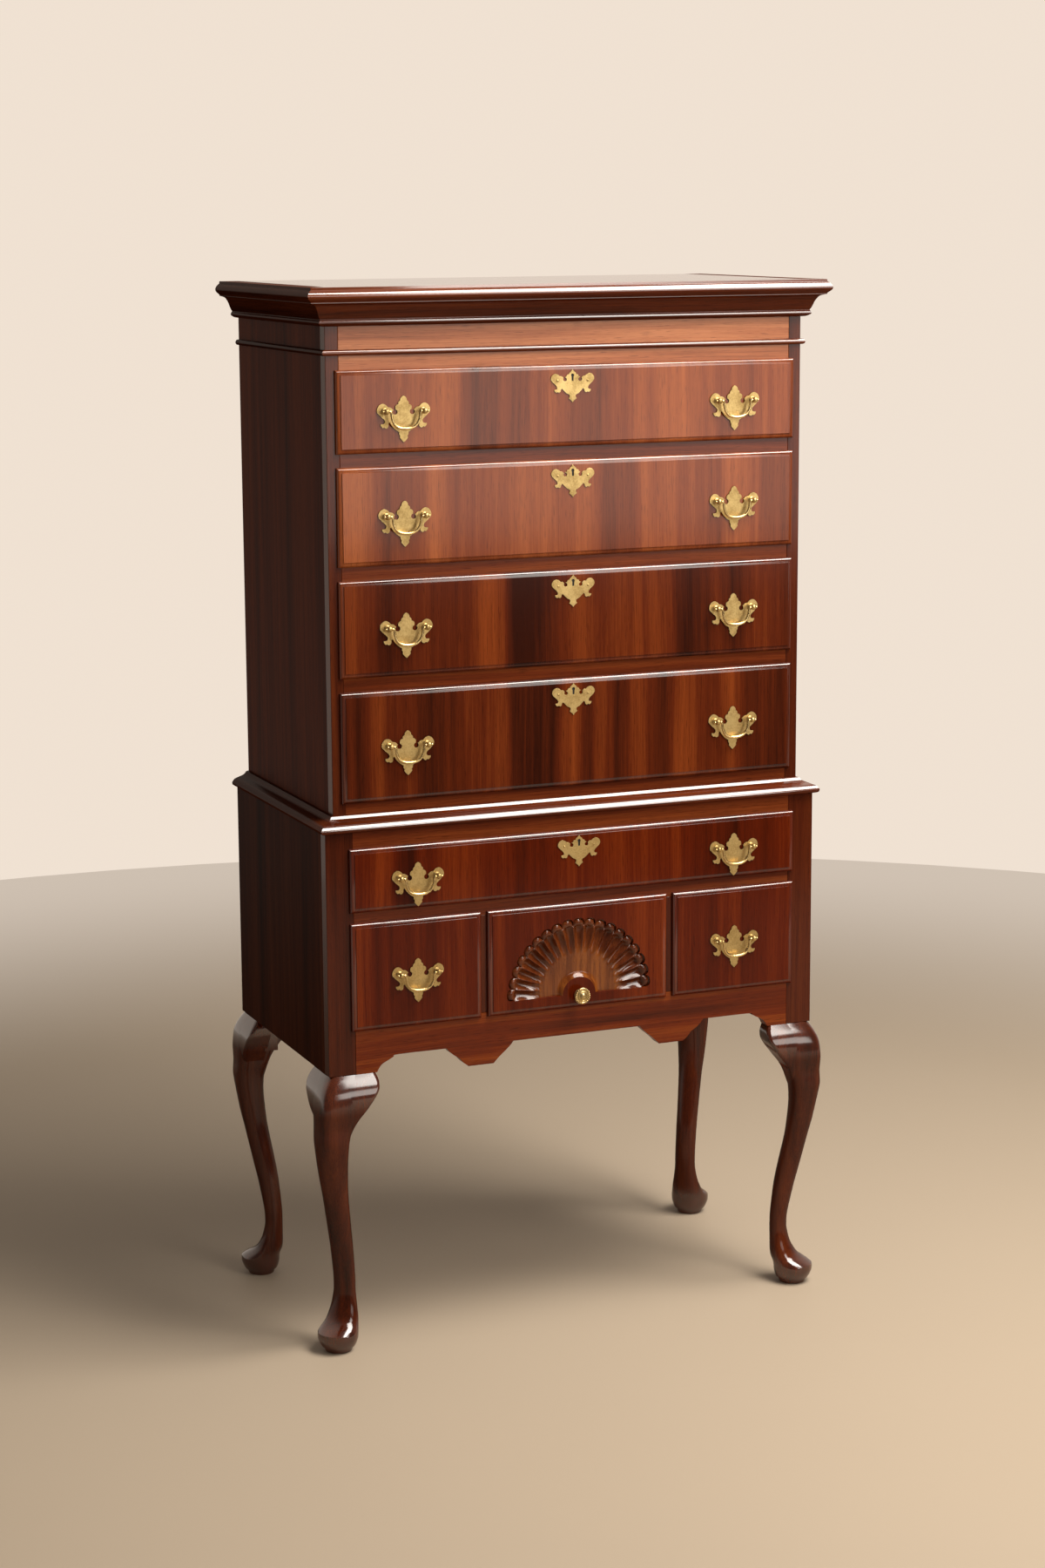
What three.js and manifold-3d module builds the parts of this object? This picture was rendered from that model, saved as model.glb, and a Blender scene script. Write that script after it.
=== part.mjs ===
// A flat-top highboy: a chest of four drawers on a stand of four drawers with cabriole legs.
// Millimetres, +Z up, the front faces -Y. Depths are counted from the back plane forwards.
import * as THREE from "three";
import { mergeVertices } from "three/addons/utils/BufferGeometryUtils.js";
import Module from "manifold-3d";

const wasm = await Module();
wasm.setup();

// Overall carcase sizes
const lowerWidth = 856.5;
const lowerDepth = 456.2;
const caseStep = 20.7; // how far the upper case stands in from the lower one
const upperWidth = lowerWidth - 2 * caseStep;
const upperDepth = lowerDepth - caseStep;
const legHeight = 464; // floor to the underside of the lower case

// Drawer fronts, lip to lip, and the rails that show between them, from the top down
const upperFrontHeights = [128.7, 153.7, 152.3, 175.7];
const upperRailShows = [20.7, 21.6, 22.2];
const upperTopShow = 126.2; // frieze and cornice above the first front
const upperBottomShow = 30.6; // below the fourth front
const longFrontHeight = 102.8;
const shortFrontHeight = 174.7;
const lowerTopShow = 38;
const lowerRailShow = 17.2;
const lowerBottomShow = 71.3; // from the short fronts down to the underside of the case
const upperLipMargin = 14.2; // case side to the lip of a front
const lowerLipMargin = 38;
const dividerShow = 11; // between two short fronts
const centreFrontWidth = 317; // the short front with the fan

// Timber thicknesses
const sideThickness = 19;
const frameThickness = 22;
const backThickness = 10;
const boardThickness = 18;
const thinBoardThickness = 15;

// Clearances
const seatGap = 0.3; // between pieces that rest on or touch each other
const slideClearance = 1.2; // beside a drawer box
const headClearance = 4; // above a drawer box
const rearClearance = 8; // behind a drawer box

// Drawer fronts and boxes
const lipOverlap = 7;
const lipThickness = 8;
const plugThickness = 14;
const plugClearance = 1.2;
const boxSideThickness = 11;
const boxBottomThickness = 7;
const runnerHeight = 18;
const upperRunnerReach = 25;
const lowerRunnerReach = 58;
const guideHeight = 12;
const bearerReach = 40;

// The thumb moulding round a front, as shares of the lip thickness, from the back of the lip out
const lipMouldHeight = 9;
const lipProfileShares = [
  [0, 0],
  [0, 0.38],
  [0.2, 0.66],
  [0.5, 0.84],
  [0.8, 0.9],
  [0.86, 1],
];

// Mouldings
const corniceHeight = 61.7;
const corniceReach = 38.5;
const corniceShares = [
  [0.164, 0.042],
  [0.312, 0.092],
  [0.338, 0.126],
  [0.325, 0.16],
  [0.283, 0.193],
  [0.283, 0.216],
  [0.322, 0.25],
  [0.377, 0.329],
  [0.429, 0.42],
  [0.509, 0.511],
  [0.587, 0.567],
  [0.722, 0.601],
  [0.816, 0.614],
  [0.829, 0.648],
  [0.935, 0.705],
  [0.987, 0.749],
  [1, 0.806],
  [0.932, 0.883],
  [0.823, 0.94],
  [0.81, 1],
];
const beadBelowTop = 104.4; // underside of the frieze bead, below the top of the piece
const beadHeight = 9.2;
const beadReach = 6.1;
const beadShares = [
  [0.05, 0],
  [0.56, 0.05],
  [0.9, 0.25],
  [1, 0.5],
  [0.87, 0.76],
  [0.52, 0.96],
  [0.05, 1],
];
const waistHeight = 26.4;
const waistDrop = 12.3; // how far the waist moulding laps down the lower case
const waistReach = 9.1; // nose beyond the lower case
// Shares of the whole width of the waist moulding, from the upper case outwards, and of its height
const waistShares = [
  [0.14, 0.93],
  [0.2, 0.85],
  [0.26, 0.77],
  [0.4, 0.68],
  [0.58, 0.61],
  [0.83, 0.5],
  [0.96, 0.34],
  [1, 0.26],
  [0.97, 0.12],
  [0.87, 0.05],
  [0.71, 0],
];

// Front apron, its lower edge as shares of the opening half width and of the apron drop
const apronFlat = 25.4; // the straight stretches lie this far above the underside of the case
const apronDrop = 33.6; // from the straight stretches down to the foot of a drop
const apronShares = [
  [1, 0.755],
  [0.908, 0.755],
  [0.896, 0.52],
  [0.881, 0.36],
  [0.852, 0.2],
  [0.834, 0.09],
  [0.812, 0],
  [0.597, 0],
  [0.583, 0.19],
  [0.562, 0.4],
  [0.54, 0.55],
  [0.522, 0.79],
  [0.5, 1],
  [0.385, 1],
  [0.366, 0.77],
  [0.346, 0.57],
  [0.33, 0.42],
  [0.308, 0.19],
  [0.294, 0],
];

// Cabriole leg: height as a share of the leg height; the rest as shares of the knee width, which are
// the set-in of the section's centre from the case corner in X and Y, its half size along the
// diagonal and across it, and the superellipse power as a plain number
const kneeWidth = 64;
const legSections = 12;
const legShares = [
  [0, 0.25, 0.39, 0.336, 0.336, 2],
  [0.028, 0.243, 0.383, 0.46, 0.46, 2],
  [0.05, 0.234, 0.375, 0.514, 0.52, 2],
  [0.069, 0.24, 0.38, 0.515, 0.52, 2],
  [0.08, 0.29, 0.43, 0.47, 0.49, 2],
  [0.099, 0.403, 0.544, 0.37, 0.43, 2],
  [0.125, 0.468, 0.61, 0.3, 0.385, 2],
  [0.153, 0.505, 0.645, 0.255, 0.34, 2],
  [0.203, 0.536, 0.678, 0.22, 0.292, 2],
  [0.25, 0.53, 0.668, 0.226, 0.288, 2],
  [0.364, 0.44, 0.572, 0.27, 0.293, 2],
  [0.431, 0.366, 0.494, 0.29, 0.3, 2],
  [0.565, 0.211, 0.32, 0.303, 0.33, 2.1],
  [0.631, 0.145, 0.247, 0.325, 0.36, 2.3],
  [0.698, 0.098, 0.19, 0.345, 0.39, 2.6],
  [0.763, 0.081, 0.156, 0.39, 0.42, 3],
  [0.819, 0.144, 0.206, 0.43, 0.44, 4],
  [0.869, 0.202, 0.202, 0.485, 0.485, 4.5],
  [0.94, 0.262, 0.262, 0.5, 0.5, 4.5],
  [0.97, 0.344, 0.344, 0.5, 0.5, 4.5],
  [1, 0.465, 0.465, 0.485, 0.485, 4.5],
];
// Knee block beside the knee: height as a share of the leg height, then as shares of the knee width
// how far its end lies from the case corner, and how far its face stands beyond the case
const kneeBlockShares = [
  [0.745, 0.41, 0.06],
  [0.817, 0.61, 0.17],
  [0.848, 0.74, 0.21],
  [0.88, 0.93, 0.235],
  [0.94, 1.24, 0.215],
  [0.962, 1.3, 0.17],
  [0.982, 1.28, 0.1],
  [1, 1.23, 0.02],
];
const kneeBlockStart = 20; // where a knee block starts, inside the knee
const kneeBlockDepth = 24; // how far it reaches in behind the face of the case
const kneeBlockRound = 7; // radius of its end, seen from above
const postRise = 63; // the tongue of a leg stands this far up inside the case
const postReach = 43; // its inner face, from the case side
const postDepth = 60; // its inner face, from the case front or back

// Pulls: a cut plate with two ball posts, and a bail that swings in them
const plateWidth = 88;
const plateHeight = 70.6;
const plateThickness = 2;
const postSpacing = 63;
const pinStandoff = 12; // bail axis in front of the drawer front
const ballRadius = 4.6;
const neckRadius = 2.9;
const collarRadius = 5.2;
const collarHeight = 1.6;
const pinRadius = 1.6;
const pinClearance = 0.35;
const pinOverhang = 1.4; // the pin's end beyond the ball
const bailRadius = 2.1;
const bailDrop = 26.5;
const bailBend = 3.2; // centre line radius where the loop turns into its pins
const bailSwell = 1.15; // the loop is this much thicker at its lowest point
const ballSides = 8;
const boreSides = 6;
const bailSides = 6;
// Plate outline, right half from the top tip down, as shares of the half width and of the height,
// counted from the post centre line
const plateShares = [
  [0, 0.317],
  [0.068, 0.272],
  [0.116, 0.224],
  [0.2, 0.18],
  [0.225, 0.122],
  [0.327, 0.044],
  [0.25, -0.02],
  [0.3, -0.072],
  [0.38, -0.05],
  [0.38, 0.022],
  [0.507, 0.086],
  [0.61, 0.1],
  [0.734, 0.163],
  [0.914, 0.132],
  [1, 0.014],
  [0.977, -0.034],
  [0.718, -0.188],
  [0.702, -0.228],
  [0.734, -0.268],
  [0.864, -0.275],
  [0.789, -0.36],
  [0.605, -0.36],
  [0.573, -0.262],
  [0.523, -0.241],
  [0.311, -0.402],
  [0.173, -0.459],
  [0.175, -0.503],
  [0.134, -0.542],
  [0.15, -0.584],
];
const plateTipShare = -0.683;
// Bail centre line, right half below the bend: shares of the loop's half width and of its drop,
// and its thickness as a share of the plain thickness
const bailShares = [
  [0.985, 0.3, 1],
  [0.93, 0.5, 1],
  [0.81, 0.72, 1.05],
  [0.62, 0.88, 1.1],
  [0.34, 0.97, 1.15],
];
const upperPullPlace = 284.5; // pull centre from the middle of the piece
const lowerPullPlace = 278;

// Turned knob on the fan drawer
const knobRadius = 14;
const knobLength = 19;
const knobSides = 20;
const knobAboveLip = 22.2; // knob centre above the lower lip
const knobShares = [
  [0, 0],
  [0.62, 0],
  [0.62, 0.1],
  [0.34, 0.2],
  [0.3, 0.45],
  [0.7, 0.58],
  [1, 0.68],
  [0.98, 0.8],
  [0.62, 0.9],
  [0.32, 1],
  [0, 1],
];

// Fan carved in the centre front
const fanRadius = 127.5;
const fanHubRadius = 29;
const fanDepth = 3.5;
const fanLobes = 19;
const fanLobeShare = 0.035; // how far a lobe stands out, as a share of the fan radius
const fanLobeSteps = 3;

// Places worked out from the sizes above, heights from the floor
const sum = (list) => list.reduce((total, value) => total + value, 0);
const lowerHeight =
  lowerTopShow + longFrontHeight + lowerRailShow + shortFrontHeight + lowerBottomShow;
const lowerTop = legHeight + lowerHeight;
const upperBase = lowerTop + seatGap;
const upperHeight = upperTopShow + sum(upperFrontHeights) + sum(upperRailShows) + upperBottomShow;
const topZ = upperBase + upperHeight;
const upperHalf = upperWidth / 2;
const lowerHalf = lowerWidth / 2;
const upperOpenHalf = upperHalf - upperLipMargin - lipOverlap;
const lowerOpenHalf = lowerHalf - lowerLipMargin - lipOverlap;
const carcaseTop = topZ - boardThickness - seatGap;

const mahogany = new THREE.MeshStandardMaterial({ color: 0x5c2410, roughness: 0.35 });
const mahoganyDark = new THREE.MeshStandardMaterial({ color: 0x471a0c, roughness: 0.38 });
const drawerWood = new THREE.MeshStandardMaterial({ color: 0xb98d5c, roughness: 0.7 });
const brass = new THREE.MeshStandardMaterial({ color: 0xb99550, roughness: 0.35, metalness: 1 });

// A geometry turned inside out, if need be, so that its faces point outwards
function facingOut(geometry) {
  const position = geometry.getAttribute("position");
  const index = geometry.getIndex();
  const a = new THREE.Vector3();
  const b = new THREE.Vector3();
  const c = new THREE.Vector3();
  let volume = 0;
  for (let i = 0; i < index.count; i += 3) {
    a.fromBufferAttribute(position, index.getX(i));
    b.fromBufferAttribute(position, index.getX(i + 1));
    c.fromBufferAttribute(position, index.getX(i + 2));
    volume += a.dot(b.cross(c));
  }
  if (volume < 0) {
    for (let i = 0; i < index.count; i += 3) {
      const kept = index.getX(i);
      index.setX(i, index.getX(i + 2));
      index.setX(i + 2, kept);
    }
  }
  return geometry;
}

// A closed geometry as a solid for joining and cutting
function solidOf(geometry) {
  const bare = new THREE.BufferGeometry();
  bare.setAttribute("position", geometry.getAttribute("position").clone());
  if (geometry.getIndex()) bare.setIndex(geometry.getIndex().clone());
  const merged = facingOut(mergeVertices(bare));
  return new wasm.Manifold(
    new wasm.Mesh({
      numProp: 3,
      vertProperties: new Float32Array(merged.getAttribute("position").array),
      triVerts: new Uint32Array(merged.getIndex().array),
    }),
  );
}

function geometryOf(solid) {
  const mesh = solid.getMesh();
  const geometry = new THREE.BufferGeometry();
  geometry.setAttribute("position", new THREE.BufferAttribute(mesh.vertProperties, 3));
  geometry.setIndex(new THREE.BufferAttribute(mesh.triVerts, 1));
  return geometry;
}

function joined(geometries) {
  return geometryOf(geometries.map(solidOf).reduce((whole, next) => whole.add(next)));
}

function cut(geometry, cutters) {
  const start = solidOf(geometry);
  return geometryOf(cutters.map(solidOf).reduce((whole, next) => whole.subtract(next), start));
}

// A box from its lowest to its highest corner
function block(low, high) {
  const size = high.map((value, i) => value - low[i]);
  const middle = high.map((value, i) => (value + low[i]) / 2);
  return new THREE.BoxGeometry(...size).translate(...middle);
}

// A closed skin through rings of equal point counts, with flat ends
function loft(rings) {
  const count = rings[0].length;
  const index = [];
  for (let r = 0; r + 1 < rings.length; r++) {
    for (let i = 0; i < count; i++) {
      const next = (i + 1) % count;
      const low = r * count;
      const high = low + count;
      index.push(low + i, low + next, high + next, low + i, high + next, high + i);
    }
  }
  const last = (rings.length - 1) * count;
  for (let i = 1; i + 1 < count; i++) {
    index.push(0, i + 1, i);
    index.push(last, last + i, last + i + 1);
  }
  const geometry = new THREE.BufferGeometry();
  geometry.setAttribute("position", new THREE.Float32BufferAttribute(rings.flat(2), 3));
  geometry.setIndex(index);
  return facingOut(geometry);
}

// An outline in X and Z, made thick from the depth `near` to the depth `far`
function prism(points, near, far) {
  const shape = new THREE.Shape(points.map(([x, z]) => new THREE.Vector2(x, z)));
  const geometry = new THREE.ExtrudeGeometry(shape, { depth: far - near, bevelEnabled: false });
  return geometry.rotateX(Math.PI / 2).translate(0, -near, 0);
}

// A moulding mitred round the two sides and the front of a case. Its profile points are how far
// they stand beyond the case and their height.
function moulding(profile, halfWidth, depth) {
  const corners = [
    ([out, z]) => [-(halfWidth + out), 0, z],
    ([out, z]) => [-(halfWidth + out), -(depth + out), z],
    ([out, z]) => [halfWidth + out, -(depth + out), z],
    ([out, z]) => [halfWidth + out, 0, z],
  ];
  const count = profile.length;
  const position = corners.flatMap((place) => profile.map(place)).flat();
  const index = [];
  for (let r = 0; r + 1 < corners.length; r++) {
    for (let i = 0; i < count; i++) {
      const next = (i + 1) % count;
      const low = r * count;
      const high = low + count;
      index.push(low + i, low + next, high + next, low + i, high + next, high + i);
    }
  }
  const flat = profile.map(([out, z]) => new THREE.Vector2(out, z));
  const last = (corners.length - 1) * count;
  for (const [a, b, c] of THREE.ShapeUtils.triangulateShape(flat, [])) {
    const turn = THREE.ShapeUtils.isClockWise(flat) ? [a, b, c] : [a, c, b];
    index.push(...turn);
    index.push(last + turn[0], last + turn[2], last + turn[1]);
  }
  const geometry = new THREE.BufferGeometry();
  geometry.setAttribute("position", new THREE.Float32BufferAttribute(position, 3));
  geometry.setIndex(index);
  return facingOut(geometry);
}

const piece = new THREE.Group();

function place(name, geometry, material) {
  const mesh = new THREE.Mesh(geometry, material);
  mesh.name = name;
  piece.add(mesh);
}

// The drawers: opening in X and Z, from the lips of their fronts
function opening(left, right, lipTop, height) {
  return {
    x0: left + lipOverlap,
    x1: right - lipOverlap,
    z0: lipTop - height + lipOverlap,
    z1: lipTop - lipOverlap,
  };
}

const drawers = [];
let lipTop = topZ - upperTopShow;
upperFrontHeights.forEach((height, row) => {
  const half = upperHalf - upperLipMargin;
  const pulls = { left: -upperPullPlace, right: upperPullPlace };
  drawers.push({ ...opening(-half, half, lipTop, height), depth: upperDepth, pulls });
  lipTop -= height + (upperRailShows[row] ?? 0);
});
const longLipTop = lowerTop - lowerTopShow;
const shortLipTop = longLipTop - longFrontHeight - lowerRailShow;
const lowerLipHalf = lowerHalf - lowerLipMargin;
const centreLipHalf = centreFrontWidth / 2;
const outerLipInner = centreLipHalf + dividerShow;
const outerPullPlace = (lowerLipHalf + outerLipInner) / 2;
drawers.push({
  ...opening(-lowerLipHalf, lowerLipHalf, longLipTop, longFrontHeight),
  depth: lowerDepth,
  pulls: { left: -lowerPullPlace, right: lowerPullPlace },
});
drawers.push({
  ...opening(-lowerLipHalf, -outerLipInner, shortLipTop, shortFrontHeight),
  depth: lowerDepth,
  pulls: { centre: -outerPullPlace },
});
drawers.push({
  ...opening(-centreLipHalf, centreLipHalf, shortLipTop, shortFrontHeight),
  depth: lowerDepth,
  pulls: {},
  fan: true,
});
drawers.push({
  ...opening(outerLipInner, lowerLipHalf, shortLipTop, shortFrontHeight),
  depth: lowerDepth,
  pulls: { centre: outerPullPlace },
});
const longDrawer = drawers[4];
const shortDrawers = drawers.slice(5);

// Fan outline: a half circle with a lobe at each flute, standing on a straight base
function fanOutline(baseZ) {
  const points = [];
  const steps = fanLobes * fanLobeSteps;
  for (let i = 0; i <= steps; i++) {
    const angle = (Math.PI * i) / steps;
    const wave = Math.abs(Math.sin((Math.PI * i) / fanLobeSteps));
    const radius = fanRadius * (1 - fanLobeShare * (1 - wave));
    points.push([radius * Math.cos(angle), baseZ + radius * Math.sin(angle)]);
  }
  for (let i = 0; i <= fanLobes; i++) {
    const angle = Math.PI * (1 - i / fanLobes);
    points.push([fanHubRadius * Math.cos(angle), baseZ + fanHubRadius * Math.sin(angle)]);
  }
  return points;
}

// A lipped drawer front: the plug fills the opening and the moulded lip laps over its edges
function drawerFront(drawer) {
  const rectangle = (grow, depth) => [
    [drawer.x0 - grow, -depth, drawer.z0 - grow],
    [drawer.x1 + grow, -depth, drawer.z0 - grow],
    [drawer.x1 + grow, -depth, drawer.z1 + grow],
    [drawer.x0 - grow, -depth, drawer.z1 + grow],
  ];
  const lipBack = drawer.depth + seatGap;
  const rings = [
    rectangle(-plugClearance, lipBack - plugThickness),
    rectangle(-plugClearance, lipBack),
  ];
  for (const [inset, out] of lipProfileShares) {
    rings.push(rectangle(lipOverlap - inset * lipMouldHeight, lipBack + out * lipThickness));
  }
  const front = loft(rings);
  if (!drawer.fan) return front;
  const face = lipBack + lipThickness;
  const baseZ = drawer.z0 - lipOverlap + knobAboveLip;
  return cut(front, [prism(fanOutline(baseZ), face - fanDepth, face + fanDepth)]);
}

// An open-topped drawer box of two sides, a back and a bottom, glued into one
function drawerBox(drawer) {
  const near = drawer.depth - plugThickness;
  const low = [drawer.x0 + slideClearance, -near, drawer.z0 + seatGap];
  const high = [
    drawer.x1 - slideClearance,
    -(backThickness + rearClearance),
    drawer.z1 - headClearance,
  ];
  const hollowLow = [
    low[0] + boxSideThickness,
    low[1] - plugThickness,
    low[2] + boxBottomThickness,
  ];
  const hollowHigh = [
    high[0] - boxSideThickness,
    high[1] - boxSideThickness,
    high[2] + headClearance,
  ];
  return cut(block(low, high), [block(hollowLow, hollowHigh)]);
}

// A cut brass plate with two ball posts that are bored for the bail, around the pull's own centre
function pullPlate() {
  const right = plateShares.map(([x, z]) => [(x * plateWidth) / 2, z * plateHeight]);
  const left = right
    .slice(1)
    .reverse()
    .map(([x, z]) => [-x, z]);
  const outline = [...right, [0, plateTipShare * plateHeight], ...left];
  const collarTop = plateThickness + collarHeight;
  const profile = [
    new THREE.Vector2(0, seatGap),
    new THREE.Vector2(collarRadius, seatGap),
    new THREE.Vector2(collarRadius, collarTop),
    new THREE.Vector2(neckRadius, collarTop),
  ];
  const neckAngle = Math.asin(neckRadius / ballRadius);
  const ballSteps = ballSides / 2;
  for (let i = 0; i <= ballSteps; i++) {
    const angle = neckAngle + ((Math.PI - neckAngle) * i) / ballSteps;
    const radius = i === ballSteps ? 0 : ballRadius * Math.sin(angle);
    profile.push(new THREE.Vector2(radius, pinStandoff - ballRadius * Math.cos(angle)));
  }
  const posts = [-1, 1].map((side) =>
    new THREE.LatheGeometry(profile, ballSides)
      .rotateX(Math.PI)
      .translate((side * postSpacing) / 2, 0, 0),
  );
  const boreRadius = pinRadius + pinClearance;
  const bore = new THREE.CylinderGeometry(boreRadius, boreRadius, plateWidth * 2, boreSides)
    .rotateZ(Math.PI / 2)
    .translate(0, -pinStandoff, 0);
  return cut(joined([prism(outline, seatGap, plateThickness), ...posts]), [bore]);
}

// A bail: a hanging loop whose thinner ends turn outwards through the ball posts
function pullBail() {
  const pinEnd = postSpacing / 2 + ballRadius + pinOverhang;
  const shoulder = postSpacing / 2 - ballRadius - seatGap;
  const loopHalf = shoulder - bailBend;
  const corner = bailBend * Math.SQRT1_2;
  const right = [
    [pinEnd, 0, pinRadius],
    [shoulder, 0, pinRadius],
    [shoulder - seatGap, 0, bailRadius],
    [shoulder - corner, corner - bailBend, bailRadius],
    [loopHalf, -bailBend, bailRadius],
    ...bailShares.map(([x, z, thick]) => [x * loopHalf, -z * bailDrop, thick * bailRadius]),
  ];
  const left = right
    .slice()
    .reverse()
    .map(([x, z, radius]) => [-x, z, radius]);
  const line = [...right, [0, -bailDrop, bailSwell * bailRadius], ...left];
  const rings = line.map(([x, z, radius], i) => {
    const [xa, za] = line[Math.max(i - 1, 0)];
    const [xb, zb] = line[Math.min(i + 1, line.length - 1)];
    const length = Math.hypot(xb - xa, zb - za);
    const across = [(zb - za) / length, -(xb - xa) / length];
    const ring = [];
    for (let k = 0; k < bailSides; k++) {
      const angle = (2 * Math.PI * (k + 1 / 2)) / bailSides;
      const side = radius * Math.cos(angle);
      ring.push([
        x + across[0] * side,
        -pinStandoff + radius * Math.sin(angle),
        z + across[1] * side,
      ]);
    }
    return ring;
  });
  return loft(rings);
}

// A turned brass knob, around its own centre
function turnedKnob() {
  const profile = knobShares.map(
    ([radius, out]) =>
      new THREE.Vector2(radius * knobRadius, seatGap + out * (knobLength - seatGap)),
  );
  return new THREE.LatheGeometry(profile, knobSides).rotateX(Math.PI);
}

// A cabriole leg with its knee blocks and the tongue that stands up inside the case
function leg(side, front) {
  const top = legHeight - seatGap;
  const at = (outX, outY, z) => [
    side * (lowerHalf + outX),
    front ? -(lowerDepth + outY) : outY,
    z,
  ];
  const rings = legShares.map(([up, inX, inY, deep, wide, power]) => {
    const ring = [];
    for (let k = 0; k < legSections; k++) {
      const angle = (2 * Math.PI * k) / legSections;
      const bent = (value) => Math.sign(value) * Math.abs(value) ** (2 / power);
      const x = bent(Math.cos(angle));
      const y = bent(Math.sin(angle));
      const along = ((x + y) / 2) * deep;
      const across = ((x - y) / 2) * wide;
      const outX = kneeWidth * (along + across - inX);
      const outY = kneeWidth * (along - across - inY);
      ring.push(at(outX, outY, up * top));
    }
    return ring;
  });
  const kneeBlock = (turned) =>
    loft(
      kneeBlockShares.map(([up, reachShare, outShare]) => {
        const end = reachShare * kneeWidth;
        const out = outShare * kneeWidth;
        const corners = [
          [kneeBlockStart, -kneeBlockDepth],
          [end, -kneeBlockDepth],
          [end, out - kneeBlockRound],
          [end - kneeBlockRound / 4, out - kneeBlockRound / 4],
          [end - kneeBlockRound, out],
          [kneeBlockStart, out],
        ];
        return corners.map(([inward, outward]) =>
          turned ? at(outward, -inward, up * top) : at(-inward, outward, up * top),
        );
      }),
    );
  const tongueLow = at(-sideThickness - seatGap, -frameThickness - seatGap, top - postDepth);
  const tongueHigh = at(-postReach, -postDepth, legHeight + postRise);
  const low = tongueLow.map((value, i) => Math.min(value, tongueHigh[i]));
  const high = tongueLow.map((value, i) => Math.max(value, tongueHigh[i]));
  return joined([loft(rings), kneeBlock(false), kneeBlock(true), block(low, high)]);
}

// A profile given in shares, placed beside a case
function profileAt(shares, reach, baseZ, height) {
  return shares.map(([out, up]) => [out * reach, baseZ + up * height]);
}

// Upper case
place(
  "top_board",
  block([-upperHalf, -upperDepth, topZ - boardThickness], [upperHalf, 0, topZ]),
  mahogany,
);
const corniceBase = topZ - corniceHeight;
place(
  "cornice_moulding",
  moulding(
    [
      [seatGap, corniceBase],
      ...profileAt(corniceShares, corniceReach, corniceBase, corniceHeight),
      [seatGap, topZ],
    ],
    upperHalf,
    upperDepth,
  ),
  mahogany,
);
place(
  "frieze_bead",
  moulding(
    profileAt(beadShares, beadReach, topZ - beadBelowTop, beadHeight),
    upperHalf,
    upperDepth,
  ),
  mahogany,
);

// A front frame: one board's outline with the openings of its drawers cut through
function frontFrame(halfWidth, depth, low, high, holes) {
  const board = block([-halfWidth, -depth, low], [halfWidth, -(depth - frameThickness), high]);
  const cutters = holes.map(({ x0, x1, z0, z1 }) =>
    block([x0, -(depth + frameThickness), z0], [x1, -(depth - 2 * frameThickness), z1]),
  );
  return cut(board, cutters);
}
const upperDrawers = drawers.slice(0, upperFrontHeights.length);
place(
  "upper_front_frame",
  frontFrame(upperHalf, upperDepth, upperBase, carcaseTop, upperDrawers),
  mahogany,
);

// A side of a case with the strips that are glued to it. Each strip is how far it reaches in from
// the side's inner face, its lowest and its highest point.
function caseSide(side, halfWidth, depth, low, high, strips) {
  const front = -(depth - frameThickness - seatGap);
  const outer = side * halfWidth;
  const inner = side * (halfWidth - sideThickness);
  const middle = (outer + inner) / 2;
  const spanned = (a, b, z0, z1, back) =>
    block([Math.min(a, b), front, z0], [Math.max(a, b), back, z1]);
  const stripBack = -(backThickness + seatGap);
  return joined([
    spanned(outer, inner, low, high, 0),
    ...strips.map(([reach, z0, z1]) =>
      spanned(middle, inner - side * reach, z0, z1, stripBack),
    ),
  ]);
}
const upperStrips = upperDrawers.map(({ z0 }) => [upperRunnerReach, z0 - runnerHeight, z0]);
const guideReach = lowerHalf - sideThickness - lowerOpenHalf;
const lowerStrips = [
  [lowerRunnerReach, longDrawer.z0 - runnerHeight, longDrawer.z0],
  [guideReach, longDrawer.z0 - runnerHeight / 2, longDrawer.z0 + guideHeight],
  [bearerReach, lowerTop - boardThickness, lowerTop],
];
for (const [word, side] of [
  ["left", -1],
  ["right", 1],
]) {
  place(
    `upper_side_${word}`,
    caseSide(side, upperHalf, upperDepth, upperBase, carcaseTop, upperStrips),
    mahoganyDark,
  );
  place(
    `lower_side_${word}`,
    caseSide(side, lowerHalf, lowerDepth, legHeight, lowerTop, lowerStrips),
    mahoganyDark,
  );
  place(`front_${word}_leg`, leg(side, true), mahogany);
  place(`back_${word}_leg`, leg(side, false), mahogany);
}

function caseBack(halfWidth, low, high) {
  const half = halfWidth - sideThickness - seatGap;
  return block([-half, -backThickness, low], [half, 0, high]);
}
place("upper_back", caseBack(upperHalf, upperBase, carcaseTop), drawerWood);
place("lower_back", caseBack(lowerHalf, legHeight, lowerTop), drawerWood);

// A board inside a case, from its front frame to its back
function innerBoard(halfWidth, depth, low, high) {
  const half = halfWidth - sideThickness - seatGap;
  const near = depth - frameThickness - seatGap;
  return block([-half, -near, low], [half, -(backThickness + seatGap), high]);
}
place(
  "upper_bottom_board",
  innerBoard(upperHalf, upperDepth, upperBase, upperBase + thinBoardThickness),
  drawerWood,
);

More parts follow.
